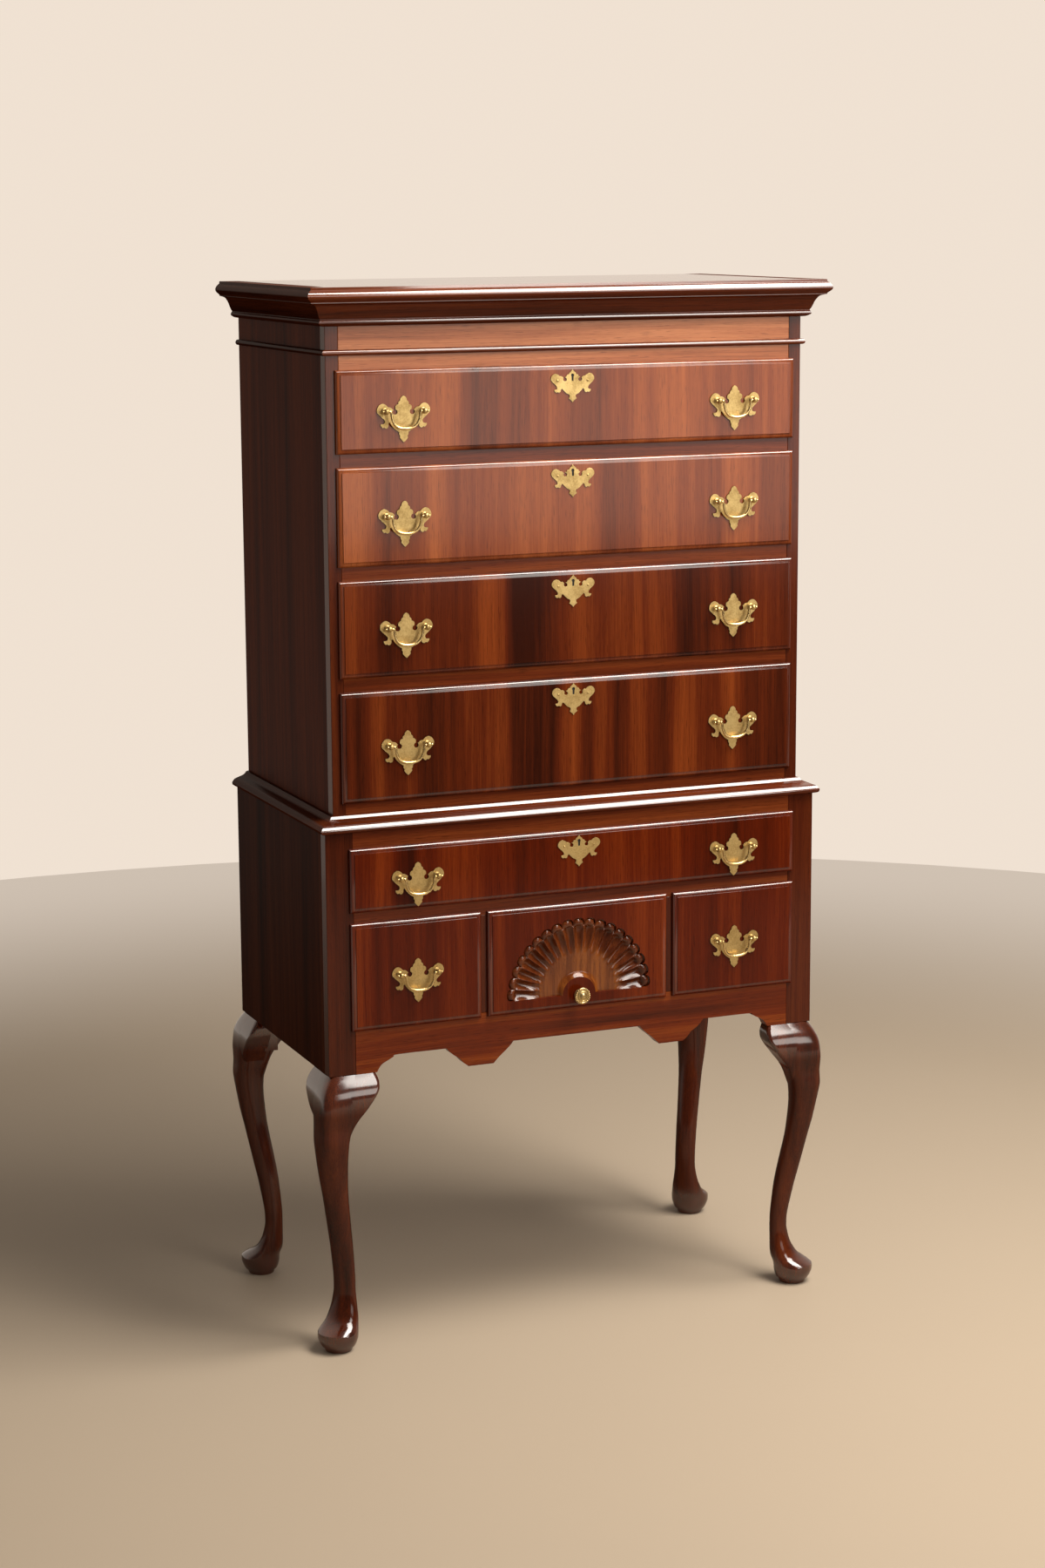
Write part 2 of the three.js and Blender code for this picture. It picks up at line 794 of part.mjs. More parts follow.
// Lower case
const waistWidth = caseStep + waistReach;
const waistBase = lowerTop - waistDrop;
place(
  "waist_moulding",
  moulding(
    [
      [seatGap, waistBase],
      [seatGap, upperBase],
      [seatGap - caseStep, upperBase],
      [seatGap - caseStep, waistBase + waistHeight],
      ...profileAt(waistShares, waistWidth, waistBase, waistHeight).map(([out, z]) => [
        out - caseStep,
        z,
      ]),
    ],
    lowerHalf,
    lowerDepth,
  ),
  mahogany,
);
const apronHole = { x0: -lowerOpenHalf, x1: lowerOpenHalf, z0: 0, z1: shortDrawers[0].z0 };
place(
  "lower_front_frame",
  frontFrame(lowerHalf, lowerDepth, legHeight, lowerTop, [
    longDrawer,
    ...shortDrawers,
    apronHole,
  ]),
  mahogany,
);
const apronHalf = lowerOpenHalf - seatGap;
const apronTop = shortDrawers[0].z0 - seatGap;
const apronEdge = apronShares.map(([x, down]) => [
  x * apronHalf,
  legHeight + apronFlat - down * apronDrop,
]);
place(
  "front_apron",
  prism(
    [
      [-apronHalf, apronTop],
      ...apronEdge.map(([x, z]) => [-x, z]),
      ...apronEdge.slice().reverse(),
      [apronHalf, apronTop],
    ],
    lowerDepth - frameThickness,
    lowerDepth,
  ),
  mahogany,
);

// The board that carries the three short drawers, with the guides between and beside them
const lowerBoardTop = shortDrawers[0].z0;
const lowerBoard = innerBoard(
  lowerHalf,
  lowerDepth,
  lowerBoardTop - thinBoardThickness,
  lowerBoardTop,
);
const guideEdges = [
  [-(lowerHalf - sideThickness - seatGap), shortDrawers[0].x0],
  [shortDrawers[0].x1, shortDrawers[1].x0],
  [shortDrawers[1].x1, shortDrawers[2].x0],
  [shortDrawers[2].x1, lowerHalf - sideThickness - seatGap],
];
const guideFront = -(lowerDepth - frameThickness - seatGap);
const guides = guideEdges.map(([x0, x1]) =>
  block(
    [x0, guideFront, lowerBoardTop - thinBoardThickness / 2],
    [x1, -(backThickness + seatGap), lowerBoardTop + guideHeight],
  ),
);
place("lower_bottom_board", joined([lowerBoard, ...guides]), drawerWood);

// Drawers with their hardware
drawers.forEach((drawer, i) => {
  const name = `drawer_${i + 1}`;
  const face = -(drawer.depth + seatGap + lipThickness);
  const middleZ = (drawer.z0 + drawer.z1) / 2;
  place(`${name}_front`, drawerFront(drawer), mahogany);
  place(`${name}_box`, drawerBox(drawer), drawerWood);
  for (const [word, x] of Object.entries(drawer.pulls)) {
    const suffix = word === "centre" ? "" : `_${word}`;
    place(`${name}_pull${suffix}_plate`, pullPlate().translate(x, face, middleZ), brass);
    place(`${name}_pull${suffix}_bail`, pullBail().translate(x, face, middleZ), brass);
  }
  if (drawer.fan) {
    const knobZ = drawer.z0 - lipOverlap + knobAboveLip;
    place(`${name}_knob`, turnedKnob().translate(0, face, knobZ), brass);
  }
});

// The origin is under the middle of the whole piece, on the floor
const extent = new THREE.Box3().setFromObject(piece);
piece.position.y = -(extent.min.y + extent.max.y) / 2;

export default piece;
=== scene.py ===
import math

import bmesh
import bpy
from mathutils import Matrix, Vector
from mathutils.geometry import tessellate_polygon


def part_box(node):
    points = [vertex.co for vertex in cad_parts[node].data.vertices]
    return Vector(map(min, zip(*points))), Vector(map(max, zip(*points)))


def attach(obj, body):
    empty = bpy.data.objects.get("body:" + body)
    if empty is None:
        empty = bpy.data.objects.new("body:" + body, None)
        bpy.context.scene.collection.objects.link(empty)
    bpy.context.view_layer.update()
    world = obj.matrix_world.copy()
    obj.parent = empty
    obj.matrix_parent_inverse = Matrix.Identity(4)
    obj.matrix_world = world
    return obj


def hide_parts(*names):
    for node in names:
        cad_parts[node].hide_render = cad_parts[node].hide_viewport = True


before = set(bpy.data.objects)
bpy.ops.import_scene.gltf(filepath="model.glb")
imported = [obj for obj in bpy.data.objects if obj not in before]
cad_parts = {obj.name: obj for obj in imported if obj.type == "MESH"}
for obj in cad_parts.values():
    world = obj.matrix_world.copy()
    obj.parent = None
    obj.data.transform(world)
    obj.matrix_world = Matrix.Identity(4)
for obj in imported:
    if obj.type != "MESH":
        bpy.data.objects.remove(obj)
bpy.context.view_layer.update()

# The view of the chest: from the left of its front and a little above the upper drawers, as it
# stands in the photograph. The lens is given for the long side of the picture.
view_place = Vector((-1.9528, -4.7051, 1.8246))
view_right = Vector((0.92327, -0.38412, -0.00595))
view_up = Vector((0.07646, 0.16855, 0.98272))
view_back = Vector((-0.37648, -0.90777, 0.18499))
view_lens = 70.96

camera_data = bpy.data.cameras.new("front_view")
camera_data.sensor_fit = "VERTICAL"
camera_data.sensor_height = 36
camera_data.lens = view_lens
camera = bpy.data.objects.new("front_view", camera_data)
bpy.context.collection.objects.link(camera)
turned = Matrix((view_right, view_up, view_back)).transposed().to_4x4()
camera.matrix_world = Matrix.Translation(view_place) @ turned
bpy.context.scene.camera = camera
bpy.context.scene.view_settings.view_transform = "Standard"


# The room: a plain pale floor, round, so that it ends at the same distance on every side, and warm
# cream walls, which are the world itself. The polish mirrors them as a room that is dim in front.
class Wire:
    """A socket in a node tree, on which sums can be written as they are spoken."""

    def __init__(self, tree, socket=None):
        self.tree = tree
        self.socket = socket

    def make(self, kind, settings=None, sockets=None, out=0):
        node = self.tree.nodes.new(kind)
        for name, value in (settings or {}).items():
            if name == "stops":
                while len(node.color_ramp.elements) < len(value):
                    node.color_ramp.elements.new(1)
                for stop, (place, colour) in zip(node.color_ramp.elements, value):
                    stop.position = place
                    stop.color = (*colour, 1) if isinstance(colour, tuple) else (colour,) * 3 + (1,)
            else:
                setattr(node, name, value)
        for name, value in (sockets or {}).items():
            if isinstance(value, Wire):
                self.tree.links.new(value.socket, node.inputs[name])
            else:
                node.inputs[name].default_value = value
        return Wire(self.tree, node.outputs[out])

    def feed(self, node, name):
        self.tree.links.new(self.socket, node.inputs[name])

    def sum_with(self, operation, first, second):
        return self.make("ShaderNodeMath", {"operation": operation}, {0: first, 1: second})

    def __add__(self, other):
        return self.sum_with("ADD", self, other)

    def __sub__(self, other):
        return self.sum_with("SUBTRACT", self, other)

    def __rsub__(self, other):
        return self.sum_with("SUBTRACT", other, self)

    def __mul__(self, other):
        return self.sum_with("MULTIPLY", self, other)

    def __truediv__(self, other):
        return self.sum_with("DIVIDE", self, other)

    __radd__ = __add__
    __rmul__ = __mul__

    def root(self):
        return self.make("ShaderNodeMath", {"operation": "SQRT"}, {0: self})

    def parts(self):
        return [self.make("ShaderNodeSeparateXYZ", None, {0: self}, out) for out in range(3)]

    def joined(self, x, y, z):
        return self.make("ShaderNodeCombineXYZ", None, {0: x, 1: y, 2: z})

    def noise(self, vector, scale, detail=2, roughness=0.5):
        sockets = {"Vector": vector, "Scale": scale, "Detail": detail, "Roughness": roughness}
        return self.make("ShaderNodeTexNoise", None, sockets)

    def between(self, low, high, share):
        settings = {"data_type": "RGBA"}
        return self.make("ShaderNodeMix", settings, {0: share, 6: low, 7: high}, 2)

    def spread(self, low, high):
        sockets = {0: self, 1: low, 2: high}
        settings = {"interpolation_type": "SMOOTHSTEP"}
        return self.make("ShaderNodeMapRange", settings, sockets)
    def bump(self, shader, strength, distance):
        sockets = {"Strength": strength, "Distance": distance, "Height": self}
        self.make("ShaderNodeBump", None, sockets).feed(shader, "Normal")


def opaque(colour):
    return (*colour, 1)


wall_cream = (0.87, 0.755, 0.645)
room_dim = (0.12, 0.1, 0.082)
room_dim_until, room_bright_from = -0.35, 0.5
room_fill = (1.0, 0.93, 0.86)
room_fill_strength = 0.22
floor_tone = (0.45, 0.36, 0.265)
floor_radius = 3.53
floor_sides = 96
floor_sink = 0.0005
floor_glow_from, floor_glow_to, floor_glow_share = 0.45, 0.995, 0.6

world = bpy.data.worlds.new("studio")
bpy.context.scene.world = world
world.use_nodes = True
world.node_tree.nodes.clear()
sky = Wire(world.node_tree)
_, look_back, _ = sky.make("ShaderNodeTexCoord").parts()
room_light = look_back.spread(room_dim_until, room_bright_from)
mirrored_room = sky.between(opaque(room_dim), opaque(wall_cream), room_light)
ray = world.node_tree.nodes.new("ShaderNodeLightPath")
camera_ray, glossy_ray, through_ray = [
    Wire(world.node_tree, ray.outputs[f"Is {kind} Ray"])
    for kind in ("Camera", "Glossy", "Transmission")
]
shows_wall = sky.make("ShaderNodeClamp", None, {0: camera_ray + glossy_ray + through_ray})
seen_wall = sky.between(mirrored_room, opaque(wall_cream), camera_ray)
fill_light = sky.make("ShaderNodeBackground", None, {0: opaque(room_fill), 1: room_fill_strength})
wall_light = sky.make("ShaderNodeBackground", None, {0: seen_wall, 1: 1.0})
mixed_light = sky.make("ShaderNodeMixShader", None, {0: shows_wall, 1: fill_light, 2: wall_light})
mixed_light.feed(world.node_tree.nodes.new("ShaderNodeOutputWorld"), 0)


def new_material(name, fixed):
    """A material, its Principled shader with the fixed values set, and a Wire to build on."""
    material = bpy.data.materials.new(name)
    material.use_nodes = True
    tree = material.node_tree
    tree.nodes.clear()
    out = tree.nodes.new("ShaderNodeOutputMaterial")
    shader = tree.nodes.new("ShaderNodeBsdfPrincipled")
    tree.links.new(shader.outputs[0], out.inputs[0])
    for socket, value in fixed.items():
        shader.inputs[socket].default_value = value
    return material, shader, Wire(tree)


floor_fixed = {"Roughness": 0.62, "Specular IOR Level": 0.2}
floor_finish, floor_shader, pen = new_material("floor_finish", floor_fixed)
floor_place = pen.make("ShaderNodeTexCoord", None, None, 3)
floor_shade = opaque(tuple(part * 0.95 for part in floor_tone))
floor_colour = pen.between(floor_shade, opaque(floor_tone), pen.noise(floor_place, 0.9, 3))
floor_colour.feed(floor_shader, "Base Color")
floor_x, floor_y, _ = floor_place.parts()
floor_reach = (floor_x * floor_x + floor_y * floor_y).root() / floor_radius
# Towards its rim the floor glows with the cream of the walls: a painted glow that brightens the far
# floor into the walls.
floor_glow_mask = floor_reach.spread(floor_glow_from, floor_glow_to) * floor_glow_share
floor_glow = pen.make("ShaderNodeEmission", None, {0: opaque(wall_cream)})
floor_top = Wire(pen.tree, floor_shader.outputs[0])
floor_mixed = pen.make("ShaderNodeMixShader", None, {0: floor_glow_mask, 1: floor_top, 2: floor_glow})
floor_mixed.feed(pen.tree.nodes["Material Output"], 0)


def mesh_object(name, verts, faces, materials, face_slots=None, crease=35):
    """An object from points and faces, with faces turned outwards and soft shading up to crease."""
    mesh = bpy.data.meshes.new(name)
    mesh.from_pydata([tuple(vert) for vert in verts], [], faces)
    for material in materials:
        mesh.materials.append(material)
    for polygon, number in zip(mesh.polygons, face_slots or []):
        polygon.material_index = number
    work = bmesh.new()
    work.from_mesh(mesh)
    bmesh.ops.recalc_face_normals(work, faces=work.faces)
    work.to_mesh(mesh)
    work.free()
    mesh.shade_smooth()
    mesh.set_sharp_from_angle(angle=math.radians(crease))
    thing = bpy.data.objects.new(name, mesh)
    bpy.context.collection.objects.link(thing)
    return thing


floor_turns = [math.tau * step / floor_sides for step in range(floor_sides)]
floor_ring = [
    (floor_radius * math.cos(turn), floor_radius * math.sin(turn), -floor_sink)
    for turn in floor_turns
]
floor = mesh_object("floor", floor_ring, [tuple(range(floor_sides))], [floor_finish])


# The lamps: one wide soft box overhead, whose light draws the bright lines on the lips and
# mouldings, a tall one beside the camera, which hazes the upper drawers, and one high in front.
warm_white = (1.0, 0.95, 0.88)


def soft_box(name, place, aim, width, height, power):
    data = bpy.data.lights.new(name, "AREA")
    data.shape = "RECTANGLE"
    data.size = width
    data.size_y = height
    data.energy = power
    data.color = warm_white
    lamp = bpy.data.objects.new(name, data)
    bpy.context.collection.objects.link(lamp)
    lamp.location = place
    lamp.rotation_euler = (Vector(aim) - Vector(place)).to_track_quat("-Z", "Y").to_euler()
    lamp.visible_camera = False


soft_box("overhead", (1.1, -1.1, 3.2), (0.6, -0.7, 0.8), 1.8, 1.5, 140)
soft_box("tall_front", (1.75, -4.2, 1.52), (0, -0.2, 1.3), 2.0, 1.4, 31)
soft_box("high_front", (1.3, -2.7, 2.8), (0.2, -0.2, 0.7), 1.2, 1.1, 36)


# The legs: four cabriole legs, each sawn and carved from one square of mahogany, with two knee
# blocks glued beside the knee and a pad foot on a low disc. A tongue stands up inside the case.
def grain_axes(pen, grain):
    """The place on a piece, and its directions across, into and along the fibres."""
    x, y, z = pen.make("ShaderNodeTexCoord", None, None, 3).parts()
    return (x, y, z), {"X": (z, y, x), "Y": (z, x, y), "Z": (x, y, z)}[grain]


def figure(pen, axes, fine, long, detail=2, roughness=0.5, seed=0):
    """Noise drawn out along the fibres: fine is its scale across them, and long along them."""
    across, deep, along = axes
    place = pen.joined(across * fine + seed, deep * fine, along * long)
    return pen.noise(place, 1, detail, roughness)


def mahogany(
    name,
    grain,
    seed,
    tones,
    bands=(),
    span=(0, 1),
    satin=0.12,
    lacquer=0.4,
    rich=1.5,
    fan=None,
    shank=None,
    under=None,
):
    """Ribbon mahogany under lacquer. grain is the axis that the fibres follow, tones are the dark,
    the plain and the light colour, and bands are the broad stripes across span. satin, lacquer and
    rich are the roughness, the weight and the index of the coat. fan is the centre of the carving
    and the two colours of a painted sheen on its dished middle, shank the heights between which
    the coat is thinner, and how thin, and under the weight of the coat on faces that look down,
    where no polish is worked in."""
    coat = {"Coat Weight": lacquer, "Coat IOR": rich, "Coat Roughness": satin}
    material, shader, pen = new_material(name, {"Specular IOR Level": 0.0, **coat})
    (x, y, z), axes = grain_axes(pen, grain)
    across, deep, along = axes
    drift = figure(pen, axes, fine=2.2, long=1.3, seed=seed) - 0.5
    bent = (across + drift * 0.035, deep, along)
    ribbon = figure(pen, bent, fine=21, long=0.7, roughness=0.6, seed=seed)
    stripe = figure(pen, bent, fine=105, long=2.2, detail=3, roughness=0.6, seed=seed)
    fibre = figure(pen, bent, fine=620, long=9)
    tone = ribbon * 1.05 + stripe * 0.6 + fibre * 0.4 - 0.525
    if bands:
        low, high = span
        share = (across + drift * 0.02 - low) / (high - low)
        band = pen.make("ShaderNodeValToRGB", {"stops": bands}, {0: share})
        tone = tone * 0.75 + band * 0.75 - 0.25
    dark, plain, light = tones
    stops = [(0.18, dark), (0.5, plain), (0.84, light)]
    colour = pen.make("ShaderNodeValToRGB", {"stops": stops}, {0: tone})
    if fan:
        # The dished centre round the knob is painted a lighter amber: a painted sheen where it
        # catches the light.
        centre_z, sheen_dark, sheen_light = fan
        reach = (x * x + (z - centre_z) * (z - centre_z)).root()
        painted_sheen_mask = 1 - reach.spread(0.062, 0.088)
        amber = pen.between(opaque(sheen_dark), opaque(sheen_light), stripe.spread(0.35, 0.65))
        colour = pen.between(colour, amber, painted_sheen_mask * 0.85)
    pore = figure(pen, axes, fine=1500, long=42, detail=1).spread(0.6, 0.72)
    pore_colour = opaque(tuple(part * 0.4 for part in dark))
    wear = pen.noise(pen.joined(x, y, z), 7, 4)
    pen.between(colour, pore_colour, pore * 0.55).feed(shader, "Base Color")
    (0.38 + wear * 0.16 + pore * 0.1).feed(shader, "Roughness")
    (fibre * 0.25 - pore * 0.6 + wear * 0.35).bump(shader, 0.22, 0.0004)
    if under is not None:
        _, _, facing_up = pen.make("ShaderNodeNewGeometry", None, None, 1).parts()
        polished = facing_up.spread(-0.3, 0.12) * (lacquer - under)
        (under + polished).feed(shader, "Coat Weight")
    if shank:
        low, high, thin = shank
        worn = z.spread(low, low + 0.03) * (1 - z.spread(high - 0.03, high))
        (lacquer - worn * (lacquer - thin)).feed(shader, "Coat Weight")
    return material


brown_tones = ((0.018, 0.0045, 0.0022), (0.055, 0.0115, 0.004), (0.105, 0.024, 0.0065))
leg_tones = ((0.02, 0.004, 0.0014), (0.058, 0.0095, 0.0024), (0.11, 0.021, 0.0045))
leg_shine = {"satin": 0.13, "lacquer": 1.0, "rich": 1.8, "shank": (0.03, 0.43, 0.28)}
leg_wood = mahogany("leg_wood", "Z", 3.7, leg_tones, **leg_shine)

back_y = 0.2327
lower_half = 0.42825
lower_front_y = -0.2235
leg_height = 0.464
seat = 0.0003
leg_top = leg_height - seat
knee_width = 0.064
leg_rings = 96
leg_sides = 48
# Height share, then in knee widths the way in of the middle from the side and from the face, and
# the size along and across the diagonal, and last the power that squares the section
leg_shares = [
    (0.0, 0.25, 0.39, 0.336, 0.336, 2.0),
    (0.004, 0.25, 0.39, 0.352, 0.352, 2.0),
    (0.0165, 0.248, 0.388, 0.372, 0.372, 2.0),
    (0.0185, 0.247, 0.387, 0.43, 0.43, 2.0),
    (0.028, 0.243, 0.383, 0.468, 0.468, 2.0),
    (0.05, 0.234, 0.375, 0.514, 0.52, 2.0),
    (0.069, 0.24, 0.38, 0.515, 0.52, 2.0),
    (0.08, 0.29, 0.43, 0.47, 0.49, 2.0),
    (0.099, 0.403, 0.544, 0.37, 0.43, 2.0),
    (0.125, 0.468, 0.61, 0.3, 0.385, 2.0),
    (0.153, 0.505, 0.645, 0.255, 0.34, 2.0),
    (0.203, 0.536, 0.678, 0.22, 0.292, 2.0),
    (0.25, 0.53, 0.668, 0.226, 0.288, 2.0),
    (0.364, 0.44, 0.572, 0.27, 0.293, 2.0),
    (0.431, 0.366, 0.494, 0.29, 0.3, 2.0),
    (0.565, 0.211, 0.32, 0.303, 0.33, 2.1),
    (0.631, 0.145, 0.247, 0.325, 0.36, 2.3),
    (0.698, 0.098, 0.19, 0.345, 0.39, 2.6),
    (0.763, 0.081, 0.156, 0.39, 0.42, 3.0),
    (0.819, 0.144, 0.206, 0.43, 0.44, 4.0),
    (0.869, 0.202, 0.202, 0.485, 0.485, 4.5),
    (0.925, 0.245, 0.245, 0.5, 0.5, 4.5),
    (0.95, 0.3, 0.3, 0.505, 0.505, 4.5),
    (0.975, 0.385, 0.385, 0.505, 0.505, 4.5),
    (1.0, 0.48, 0.48, 0.485, 0.485, 4.5),
]
foot_share = 0.028
# Knee block: height share, then in knee widths how far it runs in and how far it stands out
knee_block_shares = [
    (0.745, 0.41, 0.06),
    (0.817, 0.61, 0.17),
    (0.848, 0.74, 0.225),
    (0.88, 0.93, 0.262),
    (0.925, 1.18, 0.25),
    (0.95, 1.28, 0.203),
    (0.975, 1.29, 0.118),
    (1.0, 1.23, 0.003),
]
knee_block_start = 0.02
knee_block_depth = 0.024
knee_block_round = 0.007
post_rise = 0.063
post_reach = 0.043
post_depth = 0.06
side_thickness = 0.019
frame_thickness = 0.022


def curve_point(a, start, b, end, t):
    """The point at t on a curve from a to b, which leaves along start and arrives along end."""
    return (
        (2 * t**3 - 3 * t**2 + 1) * a
        + (t**3 - 2 * t**2 + t) * start
        + (3 * t**2 - 2 * t**3) * b
        + (t**3 - t**2) * end
    )


def flowing(table, count):
    """Rows between those of a table, on smooth curves through them, as the first column rises."""
    rows = []
    last = len(table) - 1
    for step in range(count):
        up = table[0][0] + (table[-1][0] - table[0][0]) * step / (count - 1)
        k = max(i for i in range(last) if table[i][0] <= up + 1e-9)
        a, b = table[k], table[k + 1]
        before, after = table[max(k - 1, 0)], table[min(k + 2, last)]
        gap = b[0] - a[0]
        t = (up - a[0]) / gap
        row = [up]
        for c in range(1, len(a)):
            rise = b[c] - a[c]
            start = (b[c] - before[c]) / (b[0] - before[0]) * gap
            end = (after[c] - a[c]) / (after[0] - a[0]) * gap
            # A slope is held back where it would carry the curve past a row
            start = max(min(start, 3 * abs(rise)), -3 * abs(rise)) if start * rise > 0 else 0
            end = max(min(end, 3 * abs(rise)), -3 * abs(rise)) if end * rise > 0 else 0
            row.append(curve_point(a[c], start, b[c], end, t))
        rows.append(row)
    return rows


def skin(rings, offset=0):
    """Faces over rings of equally many points, with both ends closed."""
    sides = len(rings[0])
    faces = [tuple(offset + i for i in reversed(range(sides)))]
    for r in range(len(rings) - 1):
        low = offset + r * sides
        for i in range(sides):
            j = (i + 1) % sides
            faces.append((low + i, low + j, low + sides + j, low + sides + i))
    top = offset + (len(rings) - 1) * sides
    faces.append(tuple(top + i for i in range(sides)))
    return faces


def add_loft(verts, faces, rings):
    faces.extend(skin(rings, len(verts)))
    for ring in rings:
        verts.extend(ring)

def lofted(name, ring_sets, materials, slots=None, crease=35):
    """An object of one closed body over each set of rings."""
    verts, faces = [], []
    for rings in ring_sets:
        add_loft(verts, faces, rings)
    return mesh_object(name, verts, faces, materials, slots, crease)


def box_rings(low, high):
    return [
        [(low[0], low[1], z), (high[0], low[1], z), (high[0], high[1], z), (low[0], high[1], z)]
        for z in (low[2], high[2])
    ]


def bent_power(value, power):
    return math.copysign(abs(value) ** (2 / power), value)


def settle(piece, body, slot, *nodes):
    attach(piece, body)
    if nodes:
        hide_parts(*nodes)


foot_rows = [row for row in leg_shares if row[0] <= foot_share]
shank_rows = flowing([row for row in leg_shares if row[0] >= foot_share], leg_rings)
knee_block_rings = 30
knee_block_rows = flowing(knee_block_shares, knee_block_rings)
knee_corner_steps = 8


def leg_ring_sets(side, front):
    """Rings of one leg with its foot, of its two knee blocks and of its tongue."""

    def leg_point(out_x, out_y, z):
        y = lower_front_y - out_y if front else back_y + out_y
        return (side * (lower_half + out_x), y, z)

    shank = []
    for up, in_x, in_y, deep, wide, power in foot_rows + shank_rows[1:]:
        ring = []
        for k in range(leg_sides):
            angle = math.tau * k / leg_sides
            x = bent_power(math.cos(angle), power)
            y = bent_power(math.sin(angle), power)
            run = (x + y) / 2 * deep
            cross = (x - y) / 2 * wide
            out_x = knee_width * (run + cross - in_x)
            out_y = knee_width * (run - cross - in_y)
            ring.append(leg_point(out_x, out_y, up * leg_top))
        shank.append(ring)
    face_block, side_block = [], []
    for up, reach, stand in knee_block_rows:
        end, out = reach * knee_width, stand * knee_width
        outline = [(knee_block_start, -knee_block_depth), (end, -knee_block_depth)]
        for step in range(knee_corner_steps, -1, -1):
            turn = math.pi / 2 * step / knee_corner_steps
            cut_end = knee_block_round * (1 - math.sin(turn))
            cut_out = knee_block_round * (1 - math.cos(turn))
            outline.append((end - cut_end, out - cut_out))
        outline.append((knee_block_start, out))
        face_block.append([leg_point(-i, o, up * leg_top) for i, o in outline])
        side_block.append([leg_point(o, -i, up * leg_top) for i, o in outline])
    low = leg_point(-side_thickness - seat, -frame_thickness - seat, leg_top - post_depth)
    high = leg_point(-post_reach, -post_depth, leg_height + post_rise)
    ends = list(zip(low, high))
    tongue = box_rings([min(pair) for pair in ends], [max(pair) for pair in ends])
    return [shank, face_block, side_block, tongue]


for end_name in ("front", "back"):
    for side_name, side in (("left", -1), ("right", 1)):
        node = f"{end_name}_{side_name}_leg"
        rings = leg_ring_sets(side, end_name == "front")
        piece = lofted(node + "_carved", rings, [leg_wood], crease=40)
        settle(piece, "case", "case_wood", node)


# The lower case front: upright stiles with rails and two dividers tenoned between them, all of
# solid mahogany, and below them the sawn apron with its two drops.
def ease_edges(piece, width, sharper_than):
    edge = piece.modifiers.new("eased_edges", "BEVEL")
    edge.width = width
    edge.segments = 2
    edge.limit_method = "ANGLE"
    edge.angle_limit = math.radians(sharper_than)


eased_edge = 0.0007
box_faces = 6


def boards(name, blocks, materials):
    """Separate boards in one piece; each block is its low and high corner and its material."""
    ring_sets = [box_rings(low, high) for low, high, _ in blocks]
    slots = [number for _, _, number in blocks for _ in range(box_faces)]
    piece = lofted(name, ring_sets, materials, slots, 30)
    ease_edges(piece, eased_edge, 30)
    return piece


def rail(half, depths, low, high, number):
    """A board across the front, reaching half its length to either side of the middle."""
    return ((-half, depths[0], low), (half, depths[1], high), number)


def upright_pair(inner, outer, depths, low, high, number):
    """Two boards mirrored about the middle, between the distances inner and outer from it."""
    near, far = depths
    left = ((-outer, near, low), (-inner, far, high), number)
    return [left, ((inner, near, low), (outer, far, high), number)]


lower_top = 0.868
lower_lip_margin = 0.038
lip_overlap = 0.007
rail_tones = ((0.045, 0.0082, 0.0024), (0.12, 0.021, 0.005), (0.215, 0.05, 0.0105))
stile_tones = ((0.024, 0.0046, 0.0014), (0.062, 0.0098, 0.0024), (0.115, 0.0225, 0.005))
stile_wood = mahogany("stile_wood", "Z", 11.3, stile_tones)
rail_wood = mahogany("rail_wood", "X", 5.1, rail_tones)

lips = {n: [list(corner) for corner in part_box(f"drawer_{n}_front")] for n in range(1, 9)}
lower_open = lower_half - lower_lip_margin - lip_overlap
frame_y = (lower_front_y, lower_front_y + frame_thickness)
apron_top = lips[6][0][2] + lip_overlap - seat
long_low = lips[5][0][2] + lip_overlap
long_high = lips[5][1][2] - lip_overlap
short_high = lips[6][1][2] - lip_overlap
divider_in = lips[7][1][0] - lip_overlap
divider_out = lips[8][0][0] + lip_overlap
lower_boards = [
    *upright_pair(lower_open, lower_half, frame_y, leg_height, lower_top, 0),
    rail(lower_open, frame_y, long_high, lower_top, 1),
    rail(lower_open, frame_y, short_high, long_low, 1),
    *upright_pair(divider_in, divider_out, frame_y, apron_top + seat, short_high, 0),
]
piece = boards("lower_front_joinery", lower_boards, [stile_wood, rail_wood])
settle(piece, "case", "case_wood", "lower_front_frame")


def smoothed(points, steps, turn=38):
    """Points on curves through the given ones, with a sharp corner wherever they turn sharply."""

    def is_corner(k):
        if k in (0, len(points) - 1):
            return True
        a = Vector(points[k]) - Vector(points[k - 1])
        b = Vector(points[k + 1]) - Vector(points[k])
        return a.angle(b) > math.radians(turn)

    corners = [is_corner(k) for k in range(len(points))]
    result = []
    for k in range(len(points) - 1):
        a, b = Vector(points[k]), Vector(points[k + 1])
        before = a if corners[k] else Vector(points[k - 1])
        after = b if corners[k + 1] else Vector(points[k + 2])
        start = (b - a) if corners[k] else (b - before) / 2
        end = (b - a) if corners[k + 1] else (after - a) / 2
        for step in range(steps):
            result.append(tuple(curve_point(a, start, b, end, step / steps)))
    result.append(tuple(points[-1]))
    return result


